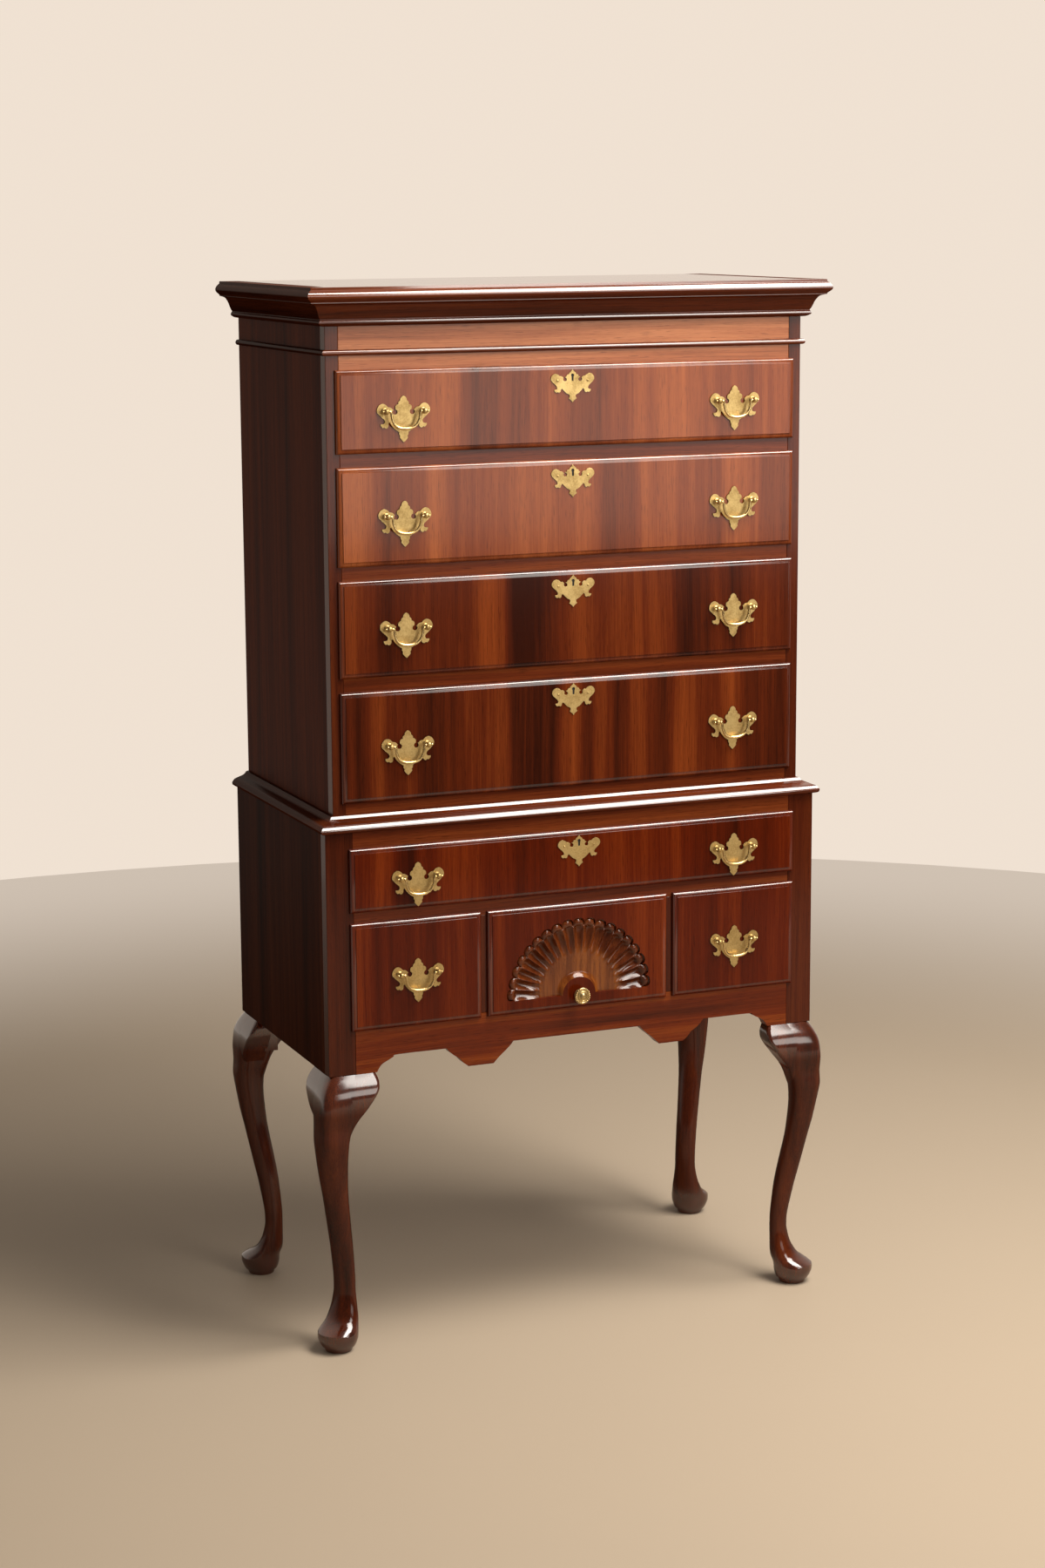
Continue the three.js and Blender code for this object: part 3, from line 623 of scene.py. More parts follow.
def sawn_board(name, outline, holes, near, far, materials, ease=0.0, crease=30):
    """A board sawn to an outline of (x, z) points, between the depths near and far."""
    loops = [outline, *holes]
    flat = [[Vector((x, z, 0)) for x, z in loop] for loop in loops]
    points = [point for loop in loops for point in loop]
    count = len(points)
    verts = [(x, near, z) for x, z in points] + [(x, far, z) for x, z in points]
    faces = []
    for triangle in tessellate_polygon(flat):
        faces.append(tuple(triangle))
        faces.append(tuple(count + i for i in reversed(triangle)))
    slots = [0] * len(faces)
    start = 0
    for loop in loops:
        size = len(loop)
        for i in range(size):
            j = (i + 1) % size
            faces.append((start + i, start + j, count + start + j, count + start + i))
        start += size
    slots += [len(materials) - 1] * (len(faces) - len(slots))
    piece = mesh_object(name, verts, faces, materials, slots, crease)
    if ease:
        ease_edges(piece, ease, 50)
    return piece


apron_flat = 0.0254
apron_drop = 0.0336
apron_ease = 0.0006
apron_half = lower_open - seat
# Right half of the lower edge: distance from the middle as a share of apron_half, and how far
# down, as a share of apron_drop
apron_shares = [
    (1, 0.755), (0.908, 0.755), (0.896, 0.52), (0.881, 0.36), (0.852, 0.2), (0.834, 0.09),
    (0.812, 0), (0.597, 0), (0.583, 0.19), (0.562, 0.4), (0.54, 0.55), (0.522, 0.79), (0.5, 1),
    (0.385, 1), (0.366, 0.77), (0.346, 0.57), (0.33, 0.42), (0.308, 0.19), (0.294, 0),
]
apron_points = [
    (x * apron_half, leg_height + apron_flat - down * apron_drop) for x, down in apron_shares
]
apron_right = smoothed(apron_points, steps=4)
apron_left = [(-x, z) for x, z in apron_right]
apron_ends = [(-apron_half, apron_top)], [(apron_half, apron_top)]
apron_outline = apron_ends[0] + apron_left + list(reversed(apron_right)) + apron_ends[1]
apron_tones = ((0.04, 0.0056, 0.0012), (0.125, 0.0165, 0.0022), (0.24, 0.05, 0.006))
apron_wood = mahogany("apron_wood", "X", 8.4, apron_tones)
piece = sawn_board("front_apron_sawn", apron_outline, [], *frame_y, [apron_wood], apron_ease)
settle(piece, "case", "case_wood", "front_apron")


# The case sides, backs and inner boards: wide mahogany sides with upright grain, and plain
# secondary wood behind and inside, let into grooves and left unpolished.
side_tones = ((0.026, 0.0046, 0.0014), (0.072, 0.0125, 0.003), (0.125, 0.024, 0.0055))
lower_side_tones = ((0.018, 0.0042, 0.0018), (0.044, 0.0092, 0.003), (0.074, 0.017, 0.005))
upper_side_wood = mahogany("upper_side_wood", "Z", 17.9, side_tones, satin=0.3, lacquer=0.08)
lower_side_wood = mahogany("lower_side_wood", "Z", 21.3, lower_side_tones, satin=0.3, lacquer=0.06)


def plain_wood(name, grain, seed, tones):
    """Unpolished secondary wood: pale, matt, with long growth lines."""
    material, shader, pen = new_material(name, {})
    _, axes = grain_axes(pen, grain)
    across, deep, along = axes
    drift = figure(pen, axes, fine=3, long=1.2, seed=seed) - 0.5
    bent = (across + drift * 0.05, deep, along)
    growth = figure(pen, bent, fine=70, long=1.6, detail=3)
    fuzz = figure(pen, axes, fine=900, long=30)
    tone = growth * 0.75 + fuzz * 0.35 - 0.05
    dark, plain, light = tones
    stops = [(0.25, dark), (0.52, plain), (0.8, light)]
    colour = pen.make("ShaderNodeValToRGB", {"stops": stops}, {0: tone})
    colour.feed(shader, "Base Color")
    (0.6 + fuzz * 0.2).feed(shader, "Roughness")
    tone.bump(shader, 0.3, 0.0004)
    return material


box_tones = ((0.27, 0.155, 0.075), (0.42, 0.265, 0.14), (0.53, 0.36, 0.2))
back_tones = ((0.13, 0.062, 0.026), (0.2, 0.104, 0.046), (0.28, 0.155, 0.075))
back_wood = plain_wood("back_wood", "X", 4.0, back_tones)
board_wood = plain_wood("board_wood", "X", 9.0, back_tones)
box_wood = plain_wood("box_wood", "Y", 2.0, box_tones)


def finish_node(node, material):
    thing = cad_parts[node]
    thing.data.materials.clear()
    thing.data.materials.append(material)


for place in ("left", "right"):
    finish_node(f"upper_side_{place}", upper_side_wood)
    finish_node(f"lower_side_{place}", lower_side_wood)
for case in ("upper", "lower"):
    finish_node(f"{case}_back", back_wood)
    finish_node(f"{case}_bottom_board", board_wood)


# The waist moulding: an ogee strip of mahogany, mitred at the two front corners and pinned to the
# lower case, which hides the joint and frames the upper case.
upper_half = 0.40755
upper_front_y = -0.2028
moulding_tones = ((0.034, 0.0066, 0.002), (0.095, 0.0165, 0.0042), (0.18, 0.04, 0.009))
bright = {"satin": 0.08, "lacquer": 1.0, "rich": 1.75, "under": 0.12}
dull = {"satin": 0.25, "lacquer": 0.15, "under": 0.0}
moulding_front = mahogany("moulding_front", "X", 14.2, moulding_tones, **bright)
moulding_side = mahogany("moulding_side", "Y", 15.8, brown_tones, **dull)


def moulding_curve(shares, reach, base, height):
    """The face of a moulding from shares of its reach and height, nowhere past its reach."""
    points = [(out * reach, base + up * height) for out, up in shares]
    return [(min(out, reach), z) for out, z in smoothed(points, steps=4)]


def run_moulding(name, profile, node):
    """A strip round the left, the front and the right; profile is (out, z) from the upper case."""
    rings = []
    for side, front in ((-1, False), (-1, True), (1, True), (1, False)):
        depths = [upper_front_y - out if front else back_y for out, _ in profile]
        ends = [(side * (upper_half + out), y, z) for (out, z), y in zip(profile, depths)]
        rings.append(ends)
    sides = len(profile)
    slots = [1] * (sides + 1) + [0] * sides + [1] * (sides + 1)
    piece = lofted(name, [rings], [moulding_front, moulding_side], slots, 28)
    settle(piece, "case", "case_wood", node)


upper_base = lower_top + seat
case_step = 0.0207
waist_height = 0.0264
waist_drop = 0.0123
waist_overhang = 0.0091
waist_base = lower_top - waist_drop
waist_width = case_step + waist_overhang
waist_shares = [
    (0.0, 0.96), (0.14, 0.93), (0.2, 0.85), (0.26, 0.77), (0.4, 0.68), (0.58, 0.61), (0.83, 0.5),
    (0.96, 0.34), (1, 0.26), (0.97, 0.12), (0.87, 0.05), (0.71, 0),
]
waist_profile = moulding_curve(waist_shares, waist_width, waist_base, waist_height)
waist_profile += [(case_step, waist_base), (case_step, upper_base), (0, upper_base)]
run_moulding("waist_moulding_run", waist_profile, "waist_moulding")


# The upper case front: narrow stiles that run up through the frieze, with the frieze rail and the
# drawer rails tenoned between them, their joints showing as fine lines.
piece_top = 1.7
board_thickness = 0.018
upper_lip_margin = 0.0142
upper_open = upper_half - upper_lip_margin - lip_overlap
carcase_top = piece_top - board_thickness - seat
upper_y = (upper_front_y, upper_front_y + frame_thickness)
frieze_tones = ((0.13, 0.034, 0.0125), (0.32, 0.1, 0.038), (0.52, 0.2, 0.082))
frieze_wood = mahogany("frieze_wood", "X", 31.0, frieze_tones)
upper_rail_wood = mahogany("upper_rail_wood", "X", 26.4, rail_tones)
upper_stile_wood = mahogany("upper_stile_wood", "Z", 28.8, stile_tones)
above, below = [], []
for n in range(1, 5):
    above.append(lips[n][1][2] - lip_overlap)
    below.append(lips[n][0][2] + lip_overlap)
upper_boards = upright_pair(upper_open, upper_half, upper_y, upper_base, carcase_top, 0)
upper_boards.append(rail(upper_open, upper_y, above[0], carcase_top, 2))
for low_z, high_z in zip(above[1:] + [upper_base], below):
    upper_boards.append(rail(upper_open, upper_y, low_z, high_z, 1))
upper_woods = [upper_stile_wood, upper_rail_wood, frieze_wood]
piece = boards("upper_front_joinery", upper_boards, upper_woods)
settle(piece, "case", "case_wood", "upper_front_frame")


# The frieze bead, the cornice and the top: a half-round bead, a cove and torus cornice mitred round
# three sides, and a plain top board let in flush behind it.
bead_shares = [(0, 0), (0.56, 0.05), (0.9, 0.25), (1, 0.5), (0.87, 0.76), (0.52, 0.96), (0, 1)]
bead_reach = 0.0061
bead_height = 0.0092
bead_base = piece_top - 0.1044
bead_curve = moulding_curve(bead_shares, bead_reach, bead_base, bead_height)
run_moulding("frieze_bead_run", bead_curve, "frieze_bead")

cornice_height = 0.0617
cornice_reach = 0.0385
cornice_shares = [
    (0, 0.03), (0.164, 0.042), (0.312, 0.092), (0.338, 0.126), (0.325, 0.16), (0.283, 0.193),
    (0.283, 0.216), (0.322, 0.25), (0.377, 0.329), (0.429, 0.42), (0.509, 0.511), (0.587, 0.567),
    (0.722, 0.601), (0.816, 0.614), (0.829, 0.648), (0.935, 0.705), (0.987, 0.749), (1, 0.806),
    (0.932, 0.883), (0.823, 0.94), (0.81, 1),
]
cornice_base = piece_top - cornice_height
cornice_curve = moulding_curve(cornice_shares, cornice_reach, cornice_base, cornice_height)
run_moulding("cornice_run", cornice_curve + [(0, piece_top)], "cornice_moulding")

top_wood = mahogany("top_wood", "X", 40.2, brown_tones, satin=0.08, lacquer=1.0)
piece = boards("top_board_polished", [(*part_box("top_board"), 0)], [top_wood])
settle(piece, "case", "case_wood", "top_board")


# The drawer boxes: sides, back and bottom of pale secondary wood, run in grooves and waxed, with
# fibres from front to back.
for n in range(1, 9):
    finish_node(f"drawer_{n}_box", box_wood)


# The drawer fronts: thick mahogany with upright ribbon figure, a thumb moulding worked round the
# lip, and a rebated plug behind it that fills the opening.
lip_thickness = 0.008
plug_thickness = 0.014
plug_clearance = 0.0012
plug_inset = lip_overlap + plug_clearance
thumb_width = 0.0054
thumb_foot = 0.0016
thumb_rise = 0.0049
thumb_steps = 8
flat_width = 0.0021
flat_rise = 0.0003
fillet_width = 0.0004


def front_rings(n):
    """Rings of a front from the back of its plug to the edge of its flat field, and the field."""
    (x0, y0, z0), (x1, _, z1) = lips[n]
    lip_back = y0 + lip_thickness

    def ring(inset, y):
        return [
            (x0 + inset, y, z0 + inset),
            (x1 - inset, y, z0 + inset),
            (x1 - inset, y, z1 - inset),
            (x0 + inset, y, z1 - inset),
        ]

    back_ring = ring(plug_inset, lip_back + plug_thickness)
    rings = [back_ring, ring(plug_inset, lip_back), ring(0, lip_back)]
    for step in range(thumb_steps + 1):
        angle = math.pi / 2 * step / thumb_steps
        inset = thumb_width * (1 - math.cos(angle))
        rings.append(ring(inset, lip_back - thumb_foot - thumb_rise * math.sin(angle)))
    rings.append(ring(thumb_width + flat_width, lip_back - thumb_foot - thumb_rise - flat_rise))
    rings.append(ring(thumb_width + flat_width + fillet_width, y0))
    return rings


# Broad stripes of each front, from its left end to its right one: 0 dark, 1 light
front_bands = {
    1: [(0, 0.55), (0.06, 0.42), (0.12, 0.5), (0.2, 0.82), (0.25, 0.5), (0.3, 0.22), (0.36, 0.5),
        (0.39, 0.25), (0.46, 0.6), (0.53, 0.4), (0.58, 0.35), (0.64, 0.62), (0.72, 0.72),
        (0.8, 0.6), (0.9, 0.36), (0.95, 0.6), (1, 0.4)],
    2: [(0, 0.7), (0.03, 0.8), (0.08, 0.45), (0.15, 0.5), (0.2, 0.86), (0.24, 0.42), (0.3, 0.6),
        (0.42, 0.68), (0.52, 0.6), (0.58, 0.36), (0.66, 0.55), (0.76, 0.5), (0.82, 0.36),
        (0.87, 0.7), (0.93, 0.3), (1, 0.42)],
    3: [(0, 0.66), (0.04, 0.7), (0.1, 0.36), (0.17, 0.5), (0.25, 0.4), (0.32, 0.72), (0.35, 0.5),
        (0.38, 0.12), (0.47, 0.18), (0.51, 0.74), (0.55, 0.46), (0.62, 0.62), (0.7, 0.5),
        (0.76, 0.2), (0.82, 0.5), (0.88, 0.3), (0.92, 0.6), (1, 0.3)],
    4: [(0, 0.5), (0.04, 0.24), (0.075, 0.78), (0.11, 0.36), (0.2, 0.3), (0.3, 0.44), (0.35, 0.62),
        (0.37, 0.08), (0.45, 0.12), (0.5, 0.76), (0.53, 0.3), (0.56, 0.82), (0.6, 0.3),
        (0.65, 0.7), (0.7, 0.24), (0.75, 0.74), (0.8, 0.4), (0.86, 0.58), (0.91, 0.25), (1, 0.42)],
    5: [(0, 0.52), (0.07, 0.72), (0.12, 0.34), (0.2, 0.6), (0.27, 0.7), (0.35, 0.52), (0.5, 0.5),
        (0.58, 0.7), (0.66, 0.42), (0.75, 0.6), (0.82, 0.28), (0.92, 0.36), (1, 0.5)],
    6: [(0, 0.5), (0.08, 0.7), (0.18, 0.42), (0.4, 0.55), (0.62, 0.5), (0.8, 0.66), (1, 0.4)],
    7: [(0, 0.5), (0.1, 0.62), (0.25, 0.45), (0.5, 0.5), (0.75, 0.4), (0.85, 0.74), (0.93, 0.4),
        (1, 0.6)],
    8: [(0, 0.42), (0.12, 0.62), (0.3, 0.46), (0.55, 0.6), (0.75, 0.42), (0.9, 0.5), (1, 0.36)],
}
faded_tones = ((0.066, 0.0125, 0.003), (0.17, 0.034, 0.0075), (0.3, 0.076, 0.017))
upper_front_tones = ((0.026, 0.0044, 0.0014), (0.088, 0.0135, 0.003), (0.2, 0.04, 0.0072))
lower_front_tones = ((0.03, 0.0038, 0.0009), (0.085, 0.0092, 0.0014), (0.17, 0.0255, 0.0034))
# Tones and weight of the coat: two faded fronts, two more in the upper case, four in the stand
front_finishes = [(faded_tones, 0.5)] * 2 + [(upper_front_tones, 0.36)] * 2
front_finishes += [(lower_front_tones, 0.28)] * 4
front_woods = {}
for n, (tones, coat) in enumerate(front_finishes, 1):
    span = (lips[n][0][0], lips[n][1][0])
    figured = ("Z", 50 + 3.3 * n, tones, front_bands[n], span)
    wood = mahogany(f"front_wood_{n}", *figured, lacquer=coat)
    lip_wood = mahogany(f"lip_wood_{n}", *figured, lacquer=1.0, rich=1.8, under=0.1)
    front_woods[n] = [wood, lip_wood]
    if n != 7:
        rings = front_rings(n)
        slots = [0] + [1] * len(rings[0]) * (len(rings) - 1) + [0]
        piece = lofted(f"drawer_{n}_front_moulded", [rings], front_woods[n], slots, 28)
        settle(piece, f"drawer_{n}", "front_wood", f"drawer_{n}_front")


# The fan drawer: the same lipped front, with a half round fan sunk into it by carving: a dished
# centre round the knob, nineteen flutes between sharp ridges, and a rim of rolled scallops.
def copies_tree():
    """Sets out copies of a shape on a line, each turned a step more about the Y axis."""
    tree = bpy.data.node_groups.new("set_out_copies", "GeometryNodeTree")
    face = tree.interface
    face.new_socket("Geometry", in_out="OUTPUT", socket_type="NodeSocketGeometry")
    for name, kind in (
        ("Geometry", "NodeSocketGeometry"),
        ("Count", "NodeSocketInt"),
        ("Start", "NodeSocketVector"),
        ("Spacing", "NodeSocketVector"),
        ("First Turn", "NodeSocketFloat"),
        ("Turn Step", "NodeSocketFloat"),
        ("Material", "NodeSocketMaterial"),
    ):
        face.new_socket(name, in_out="INPUT", socket_type=kind)
    group = tree.nodes.new("NodeGroupInput")
    given = {socket.name: Wire(tree, socket) for socket in group.outputs if socket.name}
    pen = Wire(tree)
    sockets = {"Count": given["Count"], "Start Location": given["Start"]}
    line = pen.make("GeometryNodeMeshLine", None, {**sockets, "Offset": given["Spacing"]})
    number = pen.make("GeometryNodeInputIndex")
    turn = given["First Turn"] + given["Turn Step"] * number
    turned = pen.make("FunctionNodeEulerToRotation", None, {0: pen.joined(0.0, turn, 0.0)})
    sockets = {"Points": line, "Instance": given["Geometry"], "Rotation": turned}
    placed = pen.make("GeometryNodeInstanceOnPoints", None, sockets)
    real = pen.make("GeometryNodeRealizeInstances", None, {0: placed})
    welded = pen.make("GeometryNodeMergeByDistance", None, {"Geometry": real, "Distance": 1e-5})
    sockets = {"Geometry": welded, "Material": given["Material"]}
    dressed = pen.make("GeometryNodeSetMaterial", None, sockets)
    out = tree.nodes.new("NodeGroupOutput")
    tree.links.new(dressed.socket, out.inputs[0])
    return tree


set_out_copies = copies_tree()


def worked_mesh(thing):
    """A plain mesh of an object with its modifiers worked in."""
    bpy.context.view_layer.update()
    graph = bpy.context.evaluated_depsgraph_get()
    return bpy.data.meshes.new_from_object(thing.evaluated_get(graph))


def set_out(unit, count, **given):
    """Runs the copies tree on a unit shape and leaves its result as the unit's plain mesh."""
    values = {
        "count": count,
        "start": (0.0, 0.0, 0.0),
        "spacing": (0.0, 0.0, 0.0),
        "first_turn": 0.0,
        "turn_step": 0.0,
        "material": unit.data.materials[0],
        **given,
    }
    maker = unit.modifiers.new("set_out", "NODES")
    maker.node_group = set_out_copies
    for item in set_out_copies.interface.items_tree:
        key = item.name.lower().replace(" ", "_")
        if item.item_type == "SOCKET" and item.in_out == "INPUT" and key in values:
            maker[item.identifier] = values[key]
    result = worked_mesh(unit)
    unit.modifiers.remove(maker)
    unit.data = result


fan_radius = 0.1275
fan_lift = 0.0222
fan_base = lips[7][0][2] + fan_lift
fan_face = lips[7][0][1]
fan_flutes = 19
fan_pitch = math.pi / fan_flutes
flute_steps = 14
flute_row_count = 44
hollow_power = 1.6
rim_from = 0.88
rim_hollow_from = 0.89
rim_low_share = 0.94
scallop_power = 2.2
# Along a flute, from the hub to the rim: distance from the centre as a share of the fan radius,
# depth of the ridge and depth of the hollow below the face in metres
flute_table = [
    (0.2275, 0.0, 0.0), (0.236, 0.0004, 0.0004), (0.262, 0.0048, 0.0048), (0.3, 0.0064, 0.0064),
    (0.42, 0.0056, 0.0056), (0.53, 0.0042, 0.0046), (0.6, 0.0026, 0.0056), (0.7, 0.0014, 0.0074),
    (0.8, 0.001, 0.0084), (0.86, 0.001, 0.0082), (0.885, 0.0014, 0.0066), (0.9, 0.0028, 0.0022),
    (0.92, 0.0046, 0.0004), (0.95, 0.0058, 0.0002), (0.975, 0.0064, 0.0014),
    (0.988, 0.0066, 0.0036),
]
flute_rows = flowing(flute_table, flute_row_count)
across_flute = [step / flute_steps - 1 for step in range(2 * flute_steps + 1)]
columns = len(across_flute)


def rim_share(t):
    """How far the rim reaches at t, which runs from -1 to 1 across a flute: a round scallop."""
    return rim_low_share + (1 - rim_low_share) * math.sqrt(1 - abs(t) ** scallop_power)


def flute_reach(share, rim):
    """A row's distance from the centre, drawn in towards the rim where the row lies in it."""
    outward = max(0.0, (share - rim_from) / (flute_table[-1][0] - rim_from))
    return share * (1 - outward * (1 - rim)) * fan_radius


def fan_point(radius, angle):
    return (radius * math.cos(angle), fan_base + radius * math.sin(angle))


def flute_point(radius, down, t):
    angle = t * fan_pitch / 2
    return (radius * math.cos(angle), down, radius * math.sin(angle))


verts, faces = [], []
for share, ridge, hollow in flute_rows:
    for t in across_flute:
        blend = 1 - abs(t) ** hollow_power if share < rim_hollow_from else math.sqrt(1 - t * t)
        down = ridge + (hollow - ridge) * blend
        verts.append(flute_point(flute_reach(share, rim_share(t)), down, t))
# The wall from the rim up to the face, and the outline that it meets
for rise in (0.5, 0.0):
    for t in across_flute:
        verts.append(flute_point(fan_radius * rim_share(t), rise * flute_rows[-1][1], t))
for r in range(len(flute_rows) + 1):
    for c in range(columns - 1):
        a = r * columns + c
        faces.append((a, a + 1, a + columns + 1, a + columns))
fan_tones = ((0.022, 0.0044, 0.0013), (0.07, 0.013, 0.003), (0.17, 0.04, 0.0085))
# Centre of the fan, then the dark and the light colour of the painted sheen on its dished middle
fan_painted_sheen = (fan_base, (0.11, 0.024, 0.0038), (0.24, 0.068, 0.01))
fan_wood = mahogany("fan_wood", "Z", 77.0, fan_tones, satin=0.1, lacquer=0.8, fan=fan_painted_sheen)
fan = mesh_object("drawer_7_fan_flutes", verts, faces, [fan_wood], crease=50)
fan_centre = (0.0, fan_face, fan_base)
set_out(fan, fan_flutes, start=fan_centre, first_turn=-fan_pitch / 2, turn_step=-fan_pitch)
# The two straight ends of the fan are closed against the base line
fan_edge = [(flute_reach(share, rim_low_share), ridge) for share, ridge, _ in flute_rows]
fan_edge.append((fan_radius * rim_low_share, 0.0))
verts, faces = [], []
for side in (-1, 1):
    start = len(verts)
    for radius, down in fan_edge:
        verts.append((side * radius, fan_face + down, fan_base))
        verts.append((side * radius, fan_face, fan_base))
    for k in range(len(fan_edge) - 1):
        a = start + 2 * k
        faces.append((a, a + 2, a + 3, a + 1))
# The face round the fan, from the edge of the field to the sunk outline
field = front_rings(7)[-1]
field_loop = [(x, z) for x, _, z in field]
hole_loop = []
for flute in range(fan_flutes):
    for t in across_flute[:-1]:
        angle = (flute + 0.5) * fan_pitch + t * fan_pitch / 2
        hole_loop.append(fan_point(fan_radius * rim_share(t), angle))
hole_loop.append((-fan_radius * rim_low_share, fan_base))
hub_radius = flute_table[0][0] * fan_radius
for flute in range(fan_flutes, -1, -1):
    hole_loop.append(fan_point(hub_radius, flute * fan_pitch))
flat = [[Vector((x, z, 0)) for x, z in loop] for loop in (field_loop, hole_loop)]
start = len(verts)
verts.extend((x, fan_face, z) for x, z in field_loop + hole_loop)
faces.extend(tuple(start + i for i in triangle) for triangle in tessellate_polygon(flat))
# The rings of the lip and plug, open towards the field
slots = [0] * len(faces)
rings = front_rings(7)
faces.extend(skin(rings, len(verts))[:-1])
for ring in rings:
    verts.extend(ring)
slots += [1] * (len(faces) - len(slots))
piece = mesh_object("drawer_7_front_moulded", verts, faces, front_woods[7], slots, 28)
settle(piece, "drawer_7", "front_wood", "drawer_7_front")
settle(fan, "drawer_7", "front_wood")


# The dovetails: at both ends of each front the tails of the box sides are let into the plug and
# glued there, and show as pale wedges in the dark wood once the drawer is open.
tail_pitch = 0.034
tail_length = 0.0098
tail_root = 0.0062
tail_tip = 0.0102
tail_stand = 0.00015
for n in range(1, 9):
    (x0, y0, _), (x1, _, _) = lips[n]
    box_low, box_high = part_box(f"drawer_{n}_box")
    height = box_high[2] - box_low[2]
    count = max(2, round(height / tail_pitch))
    step = height / count
    rear = y0 + lip_thickness + plug_thickness
    tip = rear - tail_length
    wedge = [(rear, -tail_root), (tip, -tail_tip), (tip, tail_tip), (rear, tail_root)]
    ring_sets = [
        [[(x, y, z) for y, z in wedge] for x in (end - tail_stand, end + tail_stand)]
        for end in (x0 + plug_inset, x1 - plug_inset)
    ]
    tails = lofted(f"drawer_{n}_dovetails", ring_sets, [box_wood])
    lowest = (0.0, 0.0, box_low[2] + step / 2)
    set_out(tails, count, start=lowest, spacing=(0.0, 0.0, step))
    settle(tails, f"drawer_{n}", "drawer_wood")


# The pulls: a pierced and filed brass plate with two turned posts, and a cast bail whose ends turn
# out into the balls of the posts and swing there.
def brass(name, light, dark, rough):
    material, shader, pen = new_material(name, {"Metallic": 1.0})
    place = pen.make("ShaderNodeTexCoord", None, None, 3)
    cloud = pen.noise(place, 42, 4, 0.6)
    speck = pen.noise(place, 420, 3, 0.6)
    age = (cloud * 0.7 + speck * 0.45).spread(0.42, 0.76)
    pen.between(opaque(light), opaque(dark), age * 0.7).feed(shader, "Base Color")
    (rough + age * 0.2).feed(shader, "Roughness")
    (cloud + speck * 0.3).bump(shader, 0.25, 0.0003)
    return material


plate_brass = brass("plate_brass", (0.6, 0.43, 0.18), (0.3, 0.19, 0.062), 0.36)
bail_brass = brass("bail_brass", (0.8, 0.6, 0.28), (0.45, 0.3, 0.11), 0.2)
# The side walls of the plates are dark: painted shade standing in for the contact shadow round
# them, together with some dark patina.
edge_brass = brass("edge_brass", (0.16, 0.09, 0.03), (0.06, 0.035, 0.015), 0.5)

mm = 0.001
# Right half of the plate from its top tip, in millimetres from the line of the posts
plate_upper = [
    (0, 23.4), (2.2, 22.4), (4.4, 20.3), (5.3, 18.0), (5.2, 16.2), (6.6, 15.6), (8.2, 13.9),
    (8.6, 12.0), (8.3, 10.6), (10.6, 10.0), (12.8, 8.2), (13.5, 6.0), (13.2, 3.6),
]
plate_notch = (14.2, -1.2, 4.1)
plate_lower = [
    (17.7, 2.4), (19.4, 4.4), (22.3, 6.1), (25.2, 6.2), (26.9, 7.6), (28.7, 9.6), (32.3, 11.5),
    (35.9, 11.7), (40.2, 9.3), (43.0, 5.2), (43.8, 1.0), (43.0, -2.4), (40.9, -4.3),
    (38.0, -7.5), (34.2, -10.7), (31.6, -13.3), (30.9, -16.1), (32.3, -18.9), (35.2, -19.6),
    (38.0, -19.4), (37.8, -22.2), (34.7, -25.4), (32.3, -24.5), (29.5, -26.4), (26.6, -25.4),
    (25.2, -22.5), (25.2, -19), (23.0, -17), (19.4, -22.7), (13.7, -28.4), (7.6, -32.4),
    (7.7, -35.5), (5.9, -38.3), (6.6, -41.2), (3.0, -45.4), (0, -48.2),
]


def arc_points(centre_x, centre_z, radius, first, last, count):
    """Points on a round notch or hole, from one angle to another, in degrees."""
    turns = [math.radians(first + (last - first) * i / count) for i in range(count + 1)]
    return [
        (centre_x + radius * math.cos(turn), centre_z + radius * math.sin(turn)) for turn in turns
    ]


def both_sides(right):
    """A whole outline from its right half, which runs from the top tip to the bottom tip."""
    left = [(-x, z) for x, z in reversed(right[1:-1])]
    return [(x * mm, z * mm) for x, z in right + left]


plate_right = (
    smoothed(plate_upper, steps=3, turn=36)
    + arc_points(*plate_notch, first=100, last=415, count=14)
    + smoothed(plate_lower, steps=3, turn=36)
)
plate_thickness = 0.002
plate_ease = 0.0005
pin_standoff = 0.012
post_spacing = 0.063
# A post turned on the lathe: radius and distance from the face, in millimetres
post_profile = [
    (5.2, 2.0), (5.2, 3.0), (4.6, 3.6), (3.0, 3.8), (2.9, 5.4), (3.3, 6.6), (3.0, 7.6), (3.9, 8.8),
    (4.5, 10.4), (4.6, 12.0), (4.5, 13.4), (3.8, 15.0), (2.6, 16.1), (1.2, 16.5),
]


def turned(name, profile, sides, material, crease=40, shift=0.0):
    """A turned shape that stands on the face, from radii and distances in millimetres, and moved
    to the right by shift."""
    turns = [math.tau * k / sides for k in range(sides)]
    circle = [(math.cos(turn) * mm, math.sin(turn) * mm) for turn in turns]
    rings = [
        [(shift * mm + radius * right, -out * mm, radius * up) for right, up in circle]
        for radius, out in profile
    ]
    return lofted(name, [rings], [material], crease=crease)


def made_one(name, *things):
    """One mesh of several objects, with the materials of the first; the objects are taken away."""
    work = bmesh.new()
    whole = bpy.data.meshes.new(name)
    for material in things[0].data.materials:
        whole.materials.append(material)
    for thing in things:
        work.from_mesh(worked_mesh(thing))
        bpy.data.objects.remove(thing)
    work.to_mesh(whole)
    work.free()
    return whole


def placed_copy(mesh, name, place):
    """An object at the origin whose mesh is a copy of the given one, moved to its place."""
    copy = mesh.copy()
    copy.transform(Matrix.Translation(place))
    thing = bpy.data.objects.new(name, copy)
    bpy.context.collection.objects.link(thing)
    return thing


def pair_of(unit, place_x, place_z=0.0):
    """Sets out a unit twice, as far to the left as to the right of the middle."""
    set_out(unit, 2, start=(-place_x, 0.0, place_z), spacing=(2 * place_x, 0.0, 0.0))
    return unit
